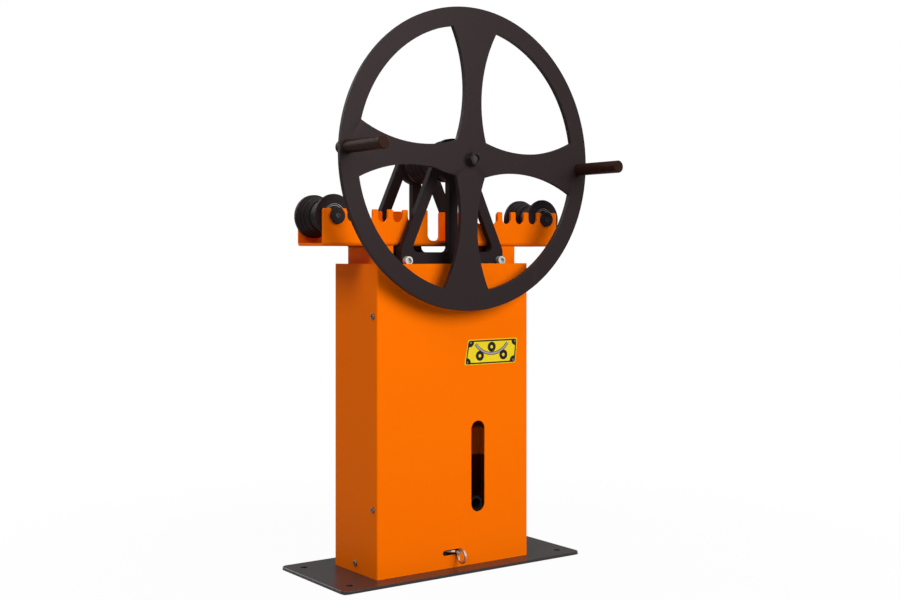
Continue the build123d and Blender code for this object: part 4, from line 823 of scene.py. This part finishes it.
def split_ring():
    """Two flattened turns of wire, closed on each other."""
    low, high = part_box("pull_ring")
    centre = (low + high) / 2
    outer = (high.y - low.y) / 2
    width = (high.x - low.x) / SPLIT_RING_TURNS
    thickness = (high.x - low.x) * SPLIT_RING_FLATNESS
    inner = outer - thickness
    mesh = bpy.data.meshes.new("split_ring")
    work = bmesh.new()
    count = SPLIT_RING_TURNS * SPLIT_RING_STEPS
    profile = wire_profile(thickness / 2, (width - SPLIT_RING_GAP) / 2)
    loops = []
    for i in range(count + 1):
        turn = 2 * math.pi * i / SPLIT_RING_STEPS + SPLIT_RING_START
        along = i / count
        across = low.x + width / 2 + (high.x - low.x - width) * ease(along)
        ray = Vector((0.0, math.cos(turn), math.sin(turn)))
        radius = (outer + inner) / 2
        loop = []
        for out, side in profile:
            offset = ray * (radius + out) + Vector((across - centre.x + side, 0.0, 0.0))
            loop.append(work.verts.new(centre + offset))
        loops.append(loop)
    for first, second in zip(loops, loops[1:]):
        for j in range(len(profile)):
            k = (j + 1) % len(profile)
            work.faces.new((first[j], second[j], second[k], first[k]))
    work.faces.new(loops[0][::-1])
    work.faces.new(loops[-1])
    close_mesh(work, mesh, WIRE_CREASE)
    piece = make_piece("split_ring", mesh, zinc, "valve_ring", "zinc_steel")
    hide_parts("pull_ring")


def ease(share):
    """Slow at both ends: the wire crosses from one turn to the next in the middle."""
    start, length = CROSSING
    middle = min(max((share - start) / length, 0.0), 1.0)
    return middle * middle * (3 - 2 * middle)


def wire_profile(half_out, half_across):
    """Rounded oblong cross section."""
    points = []
    for i in range(WIRE_CORNERS):
        turn = 2 * math.pi * i / WIRE_CORNERS
        parts = (math.cos(turn), math.sin(turn))
        out, across = (math.copysign(abs(part) ** WIRE_SQUARENESS, part) for part in parts)
        points.append((out * half_out, across * half_across))
    return points


# ---- studio -------------------------------------------------------------------------------
CAMERA_PLACE = (-1.5245, -2.2021, 0.6357)
CAMERA_HEADING = math.radians(35.4)      # from +Y towards +X
CAMERA_SENSOR = 36.0                     # mm wide
CAMERA_LENS = 52.06                      # mm
CAMERA_SHIFT = -0.053
CAMERA_RANGE = (0.05, 60.0)              # metres
FLOOR_SIZE = 14.0
FLOOR_CELLS = 8
FLOOR_DROP = 0.2 * MM                    # keeps the floor clear of the base plate's underside
LAMPS_AIM = (0.0, 0.0, 0.6)
LAMPS = (                                # name, place, width and height in metres, watts
    ("key softbox", (0.7, -3.6, 2.1), (2.6, 2.2), 144.0),
    ("left softbox", (-2.6, -1.0, 2.9), (1.5, 1.5), 60.0),
    ("right softbox", (3.2, 0.3, 1.6), (1.6, 2.2), 24.0),
    ("top softbox", (0.0, 0.3, 3.6), (3.0, 2.4), 46.0),
    ("back softbox", (-0.6, 3.4, 1.9), (2.4, 1.8), 40.0),
)


def set_up_camera():
    data = bpy.data.cameras.new("camera")
    data.sensor_fit = "HORIZONTAL"
    data.sensor_width = CAMERA_SENSOR
    data.lens = CAMERA_LENS
    data.shift_y = CAMERA_SHIFT
    data.clip_start, data.clip_end = CAMERA_RANGE
    camera = bpy.data.objects.new("camera", data)
    camera.location = CAMERA_PLACE
    camera.rotation_euler = Euler((math.radians(90), 0.0, -CAMERA_HEADING))
    bpy.context.scene.collection.objects.link(camera)
    bpy.context.scene.camera = camera


def softbox(name, place, size, power):
    data = bpy.data.lights.new(name, "AREA")
    data.shape = "RECTANGLE"
    data.size, data.size_y = size
    data.energy = power
    lamp = bpy.data.objects.new(name, data)
    lamp.location = place
    aim = Vector(LAMPS_AIM) - Vector(place)
    lamp.rotation_euler = aim.to_track_quat("-Z", "Y").to_euler()
    bpy.context.scene.collection.objects.link(lamp)


WORLD_LIGHT = 0.08
WORLD_MIRRORED = 0.22


def set_up_world():
    """White seen by the camera, paler in shiny metal, and a low even light on everything."""
    sky = Finish("studio", "worlds")
    bpy.context.scene.world = sky.material
    seen, mirrored, through = (sky.ray(kind) for kind in ("Camera", "Glossy", "Transmission"))
    strength = WORLD_LIGHT + seen * (1.0 - WORLD_LIGHT) + mirrored * (WORLD_MIRRORED - WORLD_LIGHT)
    strength = strength + through * (1.0 - WORLD_LIGHT)
    glow = sky.node("ShaderNodeBackground", {}, {"Color": sky.colour(WHITE), "Strength": strength})
    sky.node("ShaderNodeOutputWorld", {}, {"Surface": glow})


def lay_floor():
    mesh = bpy.data.meshes.new("floor")
    work = bmesh.new()
    bmesh.ops.create_grid(work, x_segments=FLOOR_CELLS, y_segments=FLOOR_CELLS, size=FLOOR_SIZE)
    work.to_mesh(mesh)
    work.free()
    floor = bpy.data.objects.new("floor", mesh)
    bpy.context.scene.collection.objects.link(floor)
    floor.location.z = -FLOOR_DROP
    mesh.materials.append(pale_floor("pale floor"))


# ---- the whole machine ----------------------------------------------------------------------
for node, finish in NODE_FINISHES.items():
    part = frame["nodes"][node]
    part.data.materials.clear()
    part.data.materials.append(finish)
    shade_by_angle(part.data, SOLID_CREASE)

for node, width in EASED.items():
    ease_edges(node, width * MM)
weld_columns_to_beam()
weld_hub_to_wheel()
weld_handles()
stop_pads()
print_badge()
split_ring()
lay_floor()
for lamp in LAMPS:
    softbox(*lamp)
set_up_world()
set_up_camera()
bpy.context.scene.view_settings.view_transform = "Standard"
